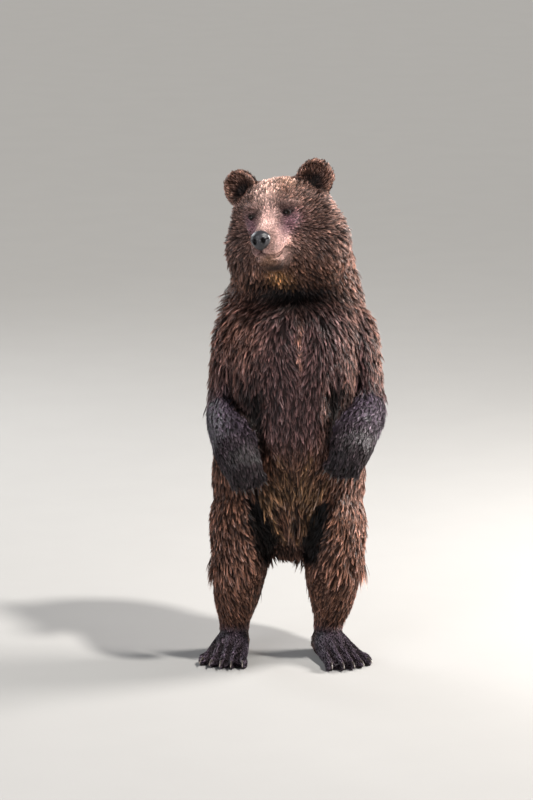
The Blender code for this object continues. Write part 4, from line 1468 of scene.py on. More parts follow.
class Lie:
    """Which way the fur lies, how long it is and how it clumps, at each point of the skin."""

    def __init__(self, anatomy: Anatomy, skin: Skin) -> None:
        """Works the fields out over the skin.

        Args:
            anatomy: The bear's measures.
            skin: The finished skin.
        """
        self.anatomy = anatomy
        self.skin = skin
        self.body = skin.graph.points - anatomy.shift
        self.on_skull = np.isin(skin.kinds, ("head", "lower_jaw"))
        table = np.array([COATS[kind][:-1] for kind in KINDS])[skin.parts]
        fields = skin.graph.spread(table, 14)
        self.length, self.width, self.spacing, self.group, self.clump, self.lift = fields.T
        self.vary_head()
        self.vary_body()
        along = self.directions()
        for _ in range(3):
            along = skin.graph.spread(along, 5)
            along -= skin.normals * (along * skin.normals).sum(axis=1, keepdims=True)
            along = unit(along)
        self.along = along

    def directions(self) -> Rows:
        """The way the fur would lie at each point before it is laid on the skin.

        Returns:
            A vector for each point.
        """
        skin = self.skin
        points = skin.graph.points
        x, _, z = self.body.T
        along = np.zeros_like(self.body)
        along[:, 2] = -1
        front = skin.normals[:, 1] < 0.1
        outward = 0.55 * rise(1.10, 1.40, z) - 0.55 * rise(1.0, 0.72, z) * front
        along[:, 0] = np.tanh((x - 0.02) / 0.05) * outward
        streak = near(self.body, (0.036, -0.235, 1.25), (0.07, 0.10, 0.14))
        along[:, 0] -= 1.3 * streak * np.tanh((x - 0.036) / 0.02)
        for name in SIDES:
            arm = np.isin(skin.parts, [FLESH.index(f"{name}_{part}") for part in LIMB_PARTS[:3]])
            along[arm] = line_distance(points[arm], self.anatomy.arm_line(name))[1]
            foot = skin.parts == FLESH.index(f"{name}_hind_foot")
            heel = np.array(self.anatomy.foot(name) @ Vector((0, 0.16, 0.10)))
            along[foot] = unit((points[foot] - heel) * (1, 1, 0)) - (0, 0, 0.35)
        return self.on_head(along)

    def on_head(self, along: Rows) -> Rows:
        """The fur of the head, which streams back from the nose, hangs in the ruff and fans on the ears.

        Args:
            along: The directions so far.

        Returns:
            The directions with the head's in them.
        """
        rows = self.skin.head
        stream = unit(rows - (0, -0.31, -0.075))
        outward = 0.35 * np.tanh(rows[:, 0] / 0.05)
        down = np.stack([outward, np.full(len(rows), 0.1), np.full(len(rows), -1.0)], axis=1)
        stream = blend(stream, down, 0.75 * rise(0.00, -0.22, rows[:, 2]))
        for sign in SIDES.values():
            away, line, _ = line_distance(rows, self.anatomy.mouth[sign])
            stream = blend(stream, line, 0.9 * rise(0.020, 0.010, away) * (rows[:, 0] * sign >= 0))
        along = np.where(self.on_skull[:, None], self.anatomy.from_head(stream), along)
        for name, sign in SIDES.items():
            ear = self.skin.parts == FLESH.index(f"{name}_ear")
            fan = self.anatomy.from_head(unit(rows - (sign * 0.118, 0.03, 0.075)))
            along = np.where(ear[:, None], fan, along)
        return along

    def vary_head(self) -> None:
        """Shortens the coat on the face, more on the muzzle and lips, and lengthens it in the ruff."""
        x, y, z = self.skin.head.T
        on = self.on_skull
        face = on * rise(-0.02, -0.15, y) * rise(-0.24, -0.16, z)
        muzzle = on * rise(-0.13, -0.19, y) * rise(-0.26, -0.20, z)
        ruff = on * rise(-0.06, -0.20, z) * rise(-0.17, -0.05, y)
        cheek = on * rise(0.06, 0.14, np.abs(x)) * rise(-0.12, -0.04, y)
        hem = on * rise(-0.17, -0.24, z)
        lips = on * rise(0.018, 0.008, self.anatomy.lip_gap(self.skin.head))
        self.length *= (1 + (0.75 * ruff + 0.35 * cheek) * (1 - hem)) * (1 - 0.10 * hem)
        self.group *= (1 + 0.5 * ruff) * (1 - 0.3 * face)
        for field, value, share in (
            (self.length, 0.0135, face),
            (self.length, 0.0062, muzzle),
            (self.length, 0.0032, lips),
            (self.width, 0.0017, face),
            (self.width, 0.0011, muzzle),
            (self.spacing, 0.0022, face),
            (self.spacing, 0.0015, muzzle),
        ):
            field += (value - field) * share
        self.clump *= 1 - 0.35 * face - 0.35 * muzzle
        self.lift *= (1 - 0.25 * face - 0.35 * muzzle) * (1 - 0.5 * lips)

    def vary_body(self) -> None:
        """Varies the coat's length and lift over the body, and says where wisps hang."""
        skin, body = self.skin, self.body
        x, _, z = body.T
        middle = np.abs(x + 0.016)
        ahead = skin.normals[:, 1] < 0
        fringe = near(body, (0.0, -0.1, 1.15), (0.26, 0.16, 0.05)) * (np.abs(x) > 0.11)
        skirt = (skin.kinds == "thigh") * rise(0.46, 0.37, z)
        shoulder = rise(1.16, 1.32, z) * rise(1.56, 1.46, z) * rise(0.06, 0.14, np.abs(x))
        tuft = near(body, (0.029, -0.19, 0.57), (0.02, 0.07, 0.06))
        facing = skin.normals[:, 0] * np.sign(x + 0.016)
        crotch = rise(-0.05, -0.45, facing) * rise(0.52, 0.47, z) * rise(0.27, 0.33, z)
        under = rise(-0.3, -0.7, skin.normals[:, 2]) * rise(0.06, 0.04, middle) * (z > 0.36)
        low = near(body, (0.02, -0.20, 0.69), (0.13, 0.12, 0.10)) * ahead
        flare = near(body, (-0.215, 0.0, 1.395), (0.06, 0.16, 0.045))
        sleek = near(body, (0.015, -0.24, 0.97), (0.105, 0.16, 0.20)) * ahead
        band = np.exp(-(((skin.head[:, 2] + 0.305) / 0.038) ** 2))
        band = band * (1 - self.on_skull) * rise(0.19, 0.12, np.abs(x))
        self.length *= 1 + 0.35 * fringe + 0.35 * skirt + 0.10 * shoulder + 0.3 * tuft
        self.length += (0.008 + 0.022 * rise(0.36, 0.43, z) - self.length) * crotch
        self.length += (0.024 - self.length) * under * (z < 0.6)
        self.length += (0.024 - self.length) * 0.8 * low
        self.length += 0.012 * flare
        self.length *= (1 + 0.12 * sleek) * (1 - 0.40 * band)
        self.width *= 1 - 0.22 * sleek
        self.lift *= (1 + 0.9 * flare) * (1 + 0.50 * shoulder + 0.4 * skirt - 0.5 * low)
        self.lift *= (1 - 0.5 * sleek) * (1 - 0.60 * band)
        joints = [self.anatomy.arm_line(side)[3] - self.anatomy.shift + (0, 0.03, 0) for side in SIDES]
        elbow = np.max([near(body, joint, (0.07, 0.07, 0.07)) for joint in joints], axis=0)
        knees = near(body, (-0.015, 0.0, 0.36), (0.10, 0.12, 0.05))
        knees = knees * np.isin(skin.kinds, ("thigh", "shank"))
        wisps = (0.55 * fringe, 0.40 * skirt, 0.30 * low, 0.35 * elbow, 0.90 * knees, 0.5 * tuft)
        self.wisp = rise(0.070, 0.100, middle + (z > 0.56)) * np.maximum.reduce(wisps)

    def cover(self) -> Rows:
        """Where fur grows: 0 on the pads, lids, lips and nose, 1 elsewhere.

        Returns:
            A share for each point.
        """
        skin = self.skin
        cover = 1 - rise(0.25, 0.6, skin.bare)
        cover *= rise(1.08, 1.22, self.anatomy.in_nose(skin.head))
        cover *= rise(0.0034, 0.0048, self.anatomy.lip_gap(skin.head))
        cover *= 1 - 0.85 * rise(0.45, 0.80, skin.furrows)
        return cover * (1 - skin.pads()) * (skin.graph.points[:, 2] > 0.004)


# The muzzle's coat grows ahead of and above these, in the head's frame.
MUZZLE_BACK = -0.125
MUZZLE_LOW = -0.26


class Strands(NamedTuple):
    """The roots of the coat's strands, and the skin's fields there.

    A strand's face is the skin's triangle that it stands on, and its shares are its place in it. Its
    fields are length, width, group, clump, lift and wisp.
    """

    points: Rows
    normals: Rows
    faces: Rows
    shares: Rows
    along: Rows
    fields: Rows
    kinds: Rows
    pieces: Rows

    def only(self, members: Rows) -> "Strands":
        """Some of the strands."""
        return Strands(*(field[members] for field in self))


class Zone(Enum):
    """Which strands of its parts a piece takes."""

    WHOLE = "whole"
    MUZZLE = "muzzle"
    LEFT = "left"
    RIGHT = "right"
    FRONT = "front"
    BACK = "back"


class Piece(NamedTuple):
    """One piece of the coat: its name, its slot, the parts it grows on, and which zone of them."""

    name: str
    slot: Slot
    parts: tuple[str, ...]
    zone: Zone = Zone.WHOLE

    def holds(self, parts: Rows, head: Rows, body: Rows) -> Rows:
        """Which strands could belong to it.

        Args:
            parts: The index in FLESH of each strand's part.
            head: The roots in the head's frame.
            body: The roots in the body's frame.

        Returns:
            Whether each one could.
        """
        zones = {
            Zone.WHOLE: True,
            Zone.MUZZLE: (head[:, 1] < MUZZLE_BACK) & (head[:, 2] > MUZZLE_LOW),
            Zone.LEFT: head[:, 0] >= 0,
            Zone.RIGHT: head[:, 0] <= 0,
            Zone.FRONT: body[:, 1] <= 0,
            Zone.BACK: body[:, 1] >= 0,
        }
        return np.isin(parts, [FLESH.index(part) for part in self.parts]) & zones[self.zone]


def coat_pieces() -> list[Piece]:
    """The coat's pieces, of which a strand takes the first that holds it.

    Returns:
        The pieces in order.
    """
    skull = ("head", "lower_jaw")
    pieces = [
        Piece("coat_muzzle", Slot.MUZZLE, skull, Zone.MUZZLE),
        Piece("coat_ears", Slot.BROWN, ("left_ear", "right_ear")),
    ]
    for side in SIDES:
        pieces.append(Piece(f"coat_head_{side}", Slot.BROWN, skull, Zone(side)))
        for name, slot, parts in (
            ("upper_arm", Slot.BROWN, ("upper_arm",)),
            ("forearm", Slot.BLACK, ("forearm", "forepaw")),
            ("leg", Slot.BROWN, ("thigh", "shank")),
            ("foot", Slot.BLACK, ("hind_foot",)),
        ):
            parts = tuple(f"{side}_{part}" for part in parts)
            pieces.append(Piece(f"coat_{side}_{name}", slot, parts))
    return pieces + [
        Piece("coat_neck", Slot.BROWN, ("neck",)),
        Piece("coat_chest_front", Slot.BROWN, ("chest",), Zone.FRONT),
        Piece("coat_chest_back", Slot.BROWN, ("chest",), Zone.BACK),
        Piece("coat_belly", Slot.BROWN, ("belly",)),
        Piece("coat_hindquarters", Slot.BROWN, ("hindquarters", "tail")),
    ]


class CoatBuilder:
    """Grows the coat: strands that lie along the skin and draw together into pointed wet clumps."""

    most_strands = 292000
    most_in_piece = 39500
    rows = np.array((0.0, 0.34, 0.68, 1.0))
    profile = (0.8, 1.0, 0.62)
    # Each row's lightness, darker towards the root: partly the hair's darker root, and partly painted
    # shade deep in the coat between the clumps.
    root_tone_and_shade = (0.08, 0.40, 1.0)
    triangles = np.array(((0, 1, 3), (0, 3, 2), (2, 3, 5), (2, 5, 4), (4, 5, 6)))
    corners = 7
    patch = 0.003
    pull_back = 0.7
    wisp_length = 0.032
    wisp_clump = 0.97
    root_depth = 0.0015
    seat_height = 0.012
    least_spacing = 0.004

    def __init__(self, anatomy: Anatomy, skin: Skin, markings: Markings) -> None:
        """Scatters the strands, and draws the line that each clump follows.

        Args:
            anatomy: The bear's measures.
            skin: The finished skin.
            markings: The coat's colours.
        """
        self.anatomy = anatomy
        self.skin = skin
        self.markings = markings
        self.lie = Lie(anatomy, skin)
        self.random = np.random.default_rng(SEED)
        points = [Vector(row) for row in skin.graph.points]
        self.tree = BVHTree.FromPolygons(points, skin.graph.triangles.tolist())
        self.strands = self.roots()
        self.chosen, self.owner = self.groups()
        self.lines = self.axes()
        self.light = np.clip(self.random.lognormal(-0.10, 0.50, len(self.chosen)), 0.3, 2.8)

    def roots(self) -> Strands:
        """Scatters the strands' roots over the skin.

        Returns:
            The strands' roots.
        """
        skin, lie = self.skin, self.lie
        graph = skin.graph
        corners = graph.triangles
        places = graph.points[corners]
        crossed = np.cross(places[:, 1] - places[:, 0], places[:, 2] - places[:, 0])
        area = np.linalg.norm(crossed, axis=1) / 2
        density = lie.cover() / lie.spacing**2
        wanted = area * density[corners].mean(axis=1)
        total = min(self.most_strands, int(wanted.sum()))
        LOG.info("skin %.2f m2, %d strands wanted, %d grown", area.sum(), wanted.sum(), total)
        faces = self.random.choice(len(corners), total, p=wanted / wanted.sum())
        first, second = self.random.random((2, total))
        over = first + second > 1
        first[over], second[over] = 1 - first[over], 1 - second[over]
        shares = np.stack([1 - first - second, first, second], axis=1)

        def at(values: Rows) -> Rows:
            """Values at the roots."""
            return np.einsum("ij,ij...->i...", shares, values[corners[faces]])

        fields = np.stack([lie.length, lie.width, lie.group, lie.clump, lie.lift, lie.wisp], axis=1)
        nearest = corners[faces, shares.argmax(axis=1)]
        points = at(graph.points)
        pieces = np.full(total, -1)
        head, body = self.anatomy.in_head(points), points - self.anatomy.shift
        for index, piece in reversed(list(enumerate(coat_pieces()))):
            pieces[piece.holds(skin.parts[nearest], head, body)] = index
        normals, along = unit(at(skin.normals)), unit(at(lie.along))
        return Strands(
            points, normals, faces, shares, along, at(fields), skin.kinds[nearest], pieces
        )

    def groups(self) -> tuple[Rows, Rows]:
        """Chooses the strands that clumps gather round.

        Returns:
            The chosen strands, and for every strand the place in that list of its clump.
        """
        strands = self.strands
        apart = self.lie.spacing[self.skin.graph.triangles[strands.faces]].mean(axis=1)
        spacing = np.maximum(strands.fields[:, 2], self.least_spacing)
        share = np.clip((apart * math.sqrt(1.05) / spacing) ** 2, 0, 1)
        chosen = np.flatnonzero(self.random.random(len(share)) < share)
        seats = strands.points + strands.normals * self.seat_height
        tree = search_tree(seats[chosen])
        owner = np.array([tree.find(row)[1] for row in seats.tolist()])
        LOG.info("%d clumps", len(chosen))
        return chosen, owner

    def axes(self) -> Rows:
        """The line that each clump follows, as its points at four shares of its length.

        Returns:
            Points of shape (clumps, 4, 3).
        """
        random = self.random
        root, normal, _, _, along, fields, _, _ = self.strands.only(self.chosen)
        length, _, _, clump, lift, wisp = fields.T
        count = len(root)
        self.wisps = random.random(count) < wisp
        across = np.cross(normal, along)
        swing = random.normal(0, 0.20, count) * (0.5 + clump) * rise(0.010, 0.040, length)
        along = unit(along + across * swing[:, None])
        length = length * np.clip(random.normal(1, 0.16, count), 0.6, 1.4)
        length = length + self.wisp_length * self.wisps
        lift = lift * np.clip(random.normal(1, 0.35, count), 0.3, 2.0)
        droop = rise(0.25, 0.9, -normal[:, 2]) * rise(0.010, 0.04, length) * 0.9
        droop += 0.12 * rise(0.02, 0.05, length) + 0.8 * self.wisps
        along = unit(along + droop[:, None] * (0, 0, -1))
        line = []
        for share in self.rows:
            height = lift * (share - 0.45 * share**2)
            place = root + along * (length * share * (1 - 0.15 * lift))[:, None]
            line.append(place + normal * (height * length)[:, None])
        for step in (2, 3):
            line[step] = self.laid(line[step], lift * length, droop, self.rows[step])
        bow = 0.1 * normal * (lift * length)[:, None]
        line[1] = 0.6 * line[1] + 0.4 * (0.55 * line[0] + 0.45 * line[2] + bow)
        return np.stack(line, axis=1)

    def laid(self, places: Rows, height: Rows, droop: Rows, share: float) -> Rows:
        """Places moved to lie over the skin at the coat's height, unless they hang free.

        Args:
            places: The places.
            height: How high a clump may stand.
            droop: How freely it hangs.
            share: How far along the clump the places are.

        Returns:
            The moved places.
        """
        found = [self.tree.find_nearest(Vector(row)) for row in places]
        ground = np.array([item[0] for item in found])
        facing = np.array([item[1] for item in found])
        above = ((places - ground) * facing).sum(axis=1)
        low = 0.0012 + 0.25 * height * share
        high = 0.9 * height * share + 0.003
        lower = (above - high) * self.pull_back * (1 - rise(0.1, 0.5, droop))
        change = np.where(above < low, low - above, np.where(above > high, -lower, 0))
        return places + facing * change[:, None]

    def grow(self) -> list[bpy.types.Object]:
        """Grows the whole coat, as one object for each piece."""
        return [self.piece(index, piece.name) for index, piece in enumerate(coat_pieces())]

    def piece(self, index: int, name: str) -> bpy.types.Object:
        """One piece of the coat.

        Args:
            index: The piece's place in the list of pieces.
            name: Its name.

        Returns:
            The object.
        """
        members = np.flatnonzero(self.strands.pieces == index)
        if len(members) > self.most_in_piece:
            LOG.info("%s: %d strands left out", name, len(members) - self.most_in_piece)
            members = np.sort(self.random.choice(members, self.most_in_piece, replace=False))
        strands, clump = self.strands.only(members), self.owner[members]
        count = len(members)
        points = self.strips(strands, clump)
        faces = (self.triangles + self.corners * np.arange(count)[:, None, None]).reshape(-1, 3)
        mesh = mesh_from(name, points.reshape(-1, 3), faces)
        self.colour(mesh, strands, self.light[clump])
        self.maps(mesh, strands, faces)
        LOG.info("%s: %d strands", name, count)
        return linked(name, mesh)

    def strips(self, strands: Strands, clump: Rows) -> Rows:
        """The strands' points: two at each of three rows, and one at the tip.

        Args:
            strands: The piece's strands.
            clump: Each one's clump.

        Returns:
            Points of shape (strands, 7, 3).
        """
        random = self.random
        root, normal = strands.points, strands.normals
        count = len(root)
        length, width, _, draw, lift, _ = strands.fields.T
        draw = np.where(self.wisps[clump], self.wisp_clump, draw)
        offset = root - self.strands.points[self.chosen[clump]]
        reach = np.clip(random.normal(0.95, 0.12, count), 0.55, 1.2)
        stray = random.random(count) < 0.05
        draw = np.where(stray, draw * 0.3, draw)
        stand = random.random((count, 1)) * (0.15 + 0.85 * stray[:, None]) * 0.25
        wander = random.normal(0, 0.055, (count, 3)) * length[:, None]
        line = self.lines[clump]
        centre = []
        for row in self.rows:
            share = row * reach
            step = np.clip(share * 3, 0, 2.999)
            low = step.astype(int)
            part = (step - low)[:, None]
            place = line[np.arange(count), low] * (1 - part) + line[np.arange(count), low + 1] * part
            place += (line[:, 3] - line[:, 2]) * np.maximum(share - 1, 0)[:, None] * 3
            place += offset * (1 - draw * row**0.62)[:, None] + wander * row**1.5
            place += normal * (stand * row) * (lift * length)[:, None]
            centre.append(place)
        centre[0] = root - normal * self.root_depth
        forward = unit(centre[2] - centre[0])
        flat = unit(np.cross(normal, forward))
        roll = random.normal(0, 0.45, count)[:, None]
        side = flat * np.cos(roll) + np.cross(forward, flat) * np.sin(roll)
        width = width * np.clip(random.normal(1, 0.25, count), 0.5, 1.7)
        points = np.empty((count, self.corners, 3))
        for row, size in enumerate(self.profile):
            half = side * (width * size / 2)[:, None]
            points[:, 2 * row] = centre[row] - half
            points[:, 2 * row + 1] = centre[row] + half
        points[:, 6] = centre[3]
        points[..., 2] = np.maximum(points[..., 2], 0.0004)
        return points

    def colour(self, mesh: bpy.types.Mesh, strands: Strands, light: Rows) -> None:
        """Gives each strand the marking's tone, darker at the root, partly as painted shade deep in the
        coat, and its own at the tip, with some tips frosted pale, partly as painted highlight.

        Args:
            mesh: The piece's mesh.
            strands: The piece's strands.
            light: How light each strand's clump is.
        """
        count = len(strands.points)
        length = strands.fields[:, 0]
        tone, tips = self.markings.tones(strands.points, strands.normals, strands.kinds)
        own = np.clip(self.random.lognormal(-0.06, 0.42, count), 0.3, 2.6) * light
        # A fifth of the strands get pale frosted tips: partly frosted hair, and partly painted sheen of
        # the wet coat.
        frost_and_sheen = 0.55 * (self.random.random(count) < 0.20)
        tips = blend(tips, tips.mean(axis=1, keepdims=True) * (1.65, 1.42, 1.45), frost_and_sheen)
        own = own ** (1 - 0.50 * rise(0.016, 0.007, length))
        short = rise(0.026, 0.009, length)
        colours = np.empty((count, self.corners, 3))
        # Darker towards the root: partly the hair's own, and partly painted shade between the clumps.
        for row, shade in enumerate(self.root_tone_and_shade):
            mixed = blend(tone, tips, np.full(count, self.rows[row] ** 2))
            mixed *= (shade + 0.55 * (1 - shade) * short)[:, None]
            colours[:, 2 * row : 2 * row + 2] = mixed[:, None]
        colours[:, 6] = tips * 1.4
        colours *= own[:, None, None]
        coloured(mesh, "tone", colours.reshape(-1, 3))

    def maps(self, mesh: bpy.types.Mesh, strands: Strands, faces: Rows) -> None:
        """Adds the map named OFBake, where each strand is a small patch at its root's place on an unwrap
        of the skin, and the map that runs across and along each strand.

        Args:
            mesh: The piece's mesh.
            strands: The piece's strands.
            faces: The mesh's triangles.
        """
        across = np.array((-1, 1, -1, 1, -1, 1, 0)) / 2
        along = self.rows[[0, 0, 1, 1, 2, 2, 3]]
        patch = np.stack([across, along - 0.5], axis=1)[None] * self.patch
        bake = self.unwrapped(strands)[:, None] + patch
        apart = self.random.random((len(strands.points), 1, 1)) * 40
        lock = np.stack([across + 0.5, along], axis=1)[None] + apart
        for name, places in (("OFBake", bake), ("lock", lock)):
            layer = mesh.uv_layers.new(name=name)
            corners = places.reshape(-1, 2)[faces.ravel()]
            layer.data.foreach_set("uv", corners.astype(np.float32).ravel())

    def unwrapped(self, strands: Strands) -> Rows:
        """Each root's place in the unit square, on an unwrap of the skin that the strands grow from.

        Args:
            strands: The strands.

        Returns:
            Two numbers for each root.
        """
        graph = self.skin.graph
        used, inverse = np.unique(strands.faces, return_inverse=True)
        corners, places = np.unique(graph.triangles[used], return_inverse=True)
        mesh = mesh_from("unwrap", graph.points[corners], places.reshape(-1, 3))
        item = linked("unwrap", mesh)
        bpy.context.view_layer.objects.active = item
        item.select_set(True)
        bpy.ops.object.mode_set(mode="EDIT")
        bpy.ops.mesh.select_all(action="SELECT")
        bpy.ops.uv.smart_project(angle_limit=math.radians(75), island_margin=0.003)
        bpy.ops.object.mode_set(mode="OBJECT")
        spots = np.empty(len(mesh.loops) * 2, np.float32)
        mesh.uv_layers.active.data.foreach_get("uv", spots)
        bpy.data.objects.remove(item)
        return np.einsum("ij,ijk->ik", strands.shares, spots.reshape(-1, 3, 2)[inverse])


@dataclass
class Eyeball:
    """One eye: a ball with a shallow cornea, set behind the lids."""

    anatomy: Anatomy
    side: str
    rings: int = 40
    segments: int = 56
    cornea: float = 0.00035

    def build(self) -> bpy.types.Object:
        """The eye as a finished piece.

        Returns:
            The piece.
        """
        name, sign, radius = f"{self.side}_eyeball", SIDES[self.side], FACE.eye_radius
        form = bmesh.new()
        bmesh.ops.create_uvsphere(
            form, u_segments=self.segments, v_segments=self.rings, radius=radius
        )
        forward = Vector(self.anatomy.from_head(unit(np.array(FACE.eye_out) * (sign, 1, 1))))
        turn = Vector((0, 0, 1)).rotation_difference(forward).to_matrix().to_4x4()
        heights = [vertex.co.z / radius for vertex in form.verts]
        for vertex, height in zip(form.verts, heights):
            vertex.co *= 1 + self.cornea / radius * max(0, height) ** 6
        place = Matrix.Translation(Vector(self.anatomy.eyes[sign])) @ turn
        bmesh.ops.transform(form, matrix=place, verts=form.verts)
        mesh = mesh_of(form, name)
        mesh.shade_smooth()
        valued(mesh, "away", np.arccos(np.clip(heights, -1, 1)))
        return linked(name, mesh)


@dataclass
class Nose:
    """The nose's leather, with two nostrils, a groove between them and a soft rim."""

    anatomy: Anatomy
    rings: int = 96
    segments: int = 128
    nostril_depth: float = 0.48
    groove_depth: float = 0.075
    rim_height: float = 0.07
    brow_height: float = 0.05

    def openings(self, x: Rows, z: Rows) -> tuple[Rows, Rows]:
        """How open the nose is and how far a nostril's rim stands out, over the unit ball's front.

        Args:
            x: The places across.
            z: Their heights.

        Returns:
            The openings from 0 to 1, and the rims from 0 to 2.
        """
        pit = np.zeros(len(x))
        rims = np.zeros(len(x))
        for side in SIDES.values():
            away = x - side * 0.42
            hole = np.hypot(away / 0.20, (z + 0.10 + 0.10 * side * away) / 0.27)
            slit = np.hypot((x - side * 0.68) / 0.25, (z + 0.04 - 0.25 * (abs(x) - 0.5)) / 0.070)
            pit = np.maximum.reduce([pit, rise(1.30, 0.65, hole), 0.6 * rise(1.4, 0.5, slit)])
            rims += np.exp(-(((hole - 1.45) / 0.30) ** 2)) * rise(0.3, -0.2, z - 0.25)
        return pit, rims

    def build(self) -> bpy.types.Object:
        """The nose as a finished piece.

        Returns:
            The piece.
        """
        form = bmesh.new()
        bmesh.ops.create_uvsphere(form, u_segments=self.segments, v_segments=self.rings, radius=1)
        rows = np.array([vertex.co for vertex in form.verts])
        x, y, z = rows.T
        pit, rims = self.openings(x, z)
        front = rise(0.15, -0.35, y)
        lift = self.rim_height * rims - self.nostril_depth * pit
        lift -= self.groove_depth * np.exp(-((x / 0.045) ** 2)) * rise(0.55, 0.1, z)
        lift += self.brow_height * np.exp(-(((z - 0.55) / 0.22) ** 2))
        width = 1 - 0.24 * rise(0.1, -1.0, z) + 0.02 * rise(0.0, 0.8, z)
        depth = 1 - 0.10 * rise(0.55, 0.95, np.hypot(x, z))
        height = 1 + 0.10 * rise(0.2, -0.8, z)
        shaped = np.stack([x * width, y * depth - lift * front, z * height], axis=1)
        places = self.anatomy.from_head(shaped * HEAD.nose_radii + HEAD.nose) + self.anatomy.head
        for vertex, row in zip(form.verts, places):
            vertex.co = row
        mesh = mesh_of(form, "nose_pad")
        mesh.shade_smooth()
        valued(mesh, "pit", np.clip(pit * front * 1.3 - 0.15, 0, 1))
        return linked("nose_pad", mesh)


class ClawKind(Enum):
    """The two kinds of claw."""

    HIND = "hind"
    FORE = "fore"


@dataclass(frozen=True)
class ClawRow:
    """The five claws of a foot, each a copy of one curved horn placed by Geometry Nodes."""

    side: str
    kind: ClawKind
    lengths: tuple[float, float] = (0.034, 0.036)
    radius: float = 0.0068
    bend: float = math.radians(62)
    fan: float = 0.30
    rings: int = 12
    sides: int = 14

    @property
    def hind(self) -> bool:
        """Whether the foot is a hind one."""
        return self.kind is ClawKind.HIND

    def horn(self) -> bpy.types.Object:
        """One claw at the origin, starting along -y and bending down.

        Returns:
            The claw that the tree puts on each point.
        """
        arc = self.lengths[0 if self.hind else 1] / self.bend
        form = bmesh.new()
        loops = []
        for share in np.linspace(0, 1, self.rings):
            sine, cosine = math.sin(self.bend * share), math.cos(self.bend * share)
            centre = Vector((0, -arc * sine, -arc * (1 - cosine)))
            lift = Vector((0, -sine, cosine))
            size = self.radius * max(1 - share, 0.015) ** 0.62
            loop = []
            for turn in np.arange(self.sides) * 2 * math.pi / self.sides:
                keel = 1 - 0.25 * max(0, -math.sin(turn))
                offset = Vector((0.70 * math.cos(turn), 0, 0)) + lift * math.sin(turn) * keel
                loop.append(form.verts.new(centre + offset * size))
            loops.append(loop)
        for lower, upper in zip(loops, loops[1:]):
            for i in range(self.sides):
                j = (i + 1) % self.sides
                form.faces.new((lower[i], lower[j], upper[j], upper[i]))
        form.faces.new(loops[0][::-1])
        form.faces.new(loops[-1])
        bmesh.ops.recalc_face_normals(form, faces=form.faces)
        mesh = mesh_of(form, "horn")
        mesh.shade_smooth()
        valued(mesh, "along", np.repeat(np.linspace(0, 1, self.rings), self.sides))
        return linked("horn", mesh)

    def places(self, anatomy: Anatomy) -> list[Matrix]:
        """Each claw's place and turn.

        Args:
            anatomy: The bear's measures.

        Returns:
            The frames, from the first toe to the last.
        """
        base = anatomy.foot(self.side) if self.hind else anatomy.paw(self.side)
        row = TOE_ROWS["hind_foot" if self.hind else "forepaw"]
        found = []
        for toe in range(TOES):
            share = 2 * toe / (TOES - 1) - 1
            x, spread = share * row.half, self.fan * share
            lag = row.tips + row.bow * share**2 + 0.006 * SIDES[self.side] * share
            if self.hind:
                root = Vector((x, 0.014 + lag, 0.030))
                turn = Matrix.Rotation(spread, 4, "Z") @ Matrix.Rotation(-0.10, 4, "X")
            else:
                root = Vector((x, 0.002, lag))
                turn = Matrix.Rotation(-spread, 4, "Y") @ Matrix.Rotation(math.radians(93), 4, "X")
            found.append(base @ Matrix.Translation(root) @ turn)
        return found

    def tree(self) -> bpy.types.NodeTree:
        """The node tree that puts a horn on each point and gives it its material.

        Returns:
            The tree.
        """
        tree = bpy.data.node_groups.new("claw_row", "GeometryNodeTree")
        for name, kind, way in (
            ("Geometry", "Geometry", "INPUT"),
            ("Horn", "Object", "INPUT"),
            ("Finish", "Material", "INPUT"),
            ("Geometry", "Geometry", "OUTPUT"),
        ):
            tree.interface.new_socket(name, in_out=way, socket_type=f"NodeSocket{kind}")
        entry, leave, horn, aim, put, real, dress, turned = (
            tree.nodes.new(kind)
            for kind in (
                "NodeGroupInput",
                "NodeGroupOutput",
                "GeometryNodeObjectInfo",
                "GeometryNodeInputNamedAttribute",
                "GeometryNodeInstanceOnPoints",
                "GeometryNodeRealizeInstances",
                "GeometryNodeSetMaterial",
                "FunctionNodeEulerToRotation",
            )
        )
        aim.data_type = "FLOAT_VECTOR"
        aim.inputs["Name"].default_value = "aim"
        for source, out, target, socket in (
            (entry, "Geometry", put, "Points"),
            (entry, "Horn", horn, "Object"),
            (horn, "Geometry", put, "Instance"),
            (aim, 0, turned, 0),
            (turned, 0, put, "Rotation"),
            (put, 0, real, 0),
            (real, 0, dress, "Geometry"),
            (entry, "Finish", dress, "Material"),
            (dress, 0, leave, 0),
        ):
            tree.links.new(source.outputs[out], target.inputs[socket])
        return tree

    def build(self, anatomy: Anatomy, finish: bpy.types.Material) -> bpy.types.Object:
        """The foot's claws as a finished piece.

        Args:
            anatomy: Where the feet are.
            finish: The horn's material.

        Returns:
            The object.
        """
        name = f"{self.side}_{self.kind.value}_claws"
        places = self.places(anatomy)
        mesh = bpy.data.meshes.new(name)
        mesh.from_pydata([place.translation for place in places], [], [])
        aims = mesh.attributes.new("aim", "FLOAT_VECTOR", "POINT")
        for item, place in zip(aims.data, places):
            item.vector = place.to_euler()
        row = linked(name, mesh)
        horn = self.horn()
        modifier = row.modifiers.new("claws", "NODES")
        modifier.node_group = self.tree()
        sockets = {
            item.name: item.identifier
            for item in modifier.node_group.interface.items_tree
            if item.in_out == "INPUT"
        }
        modifier[sockets["Horn"]] = horn
        modifier[sockets["Finish"]] = finish
        made = evaluated(row)
        bpy.data.objects.remove(horn)
        made.name = name
        return linked(name, made)


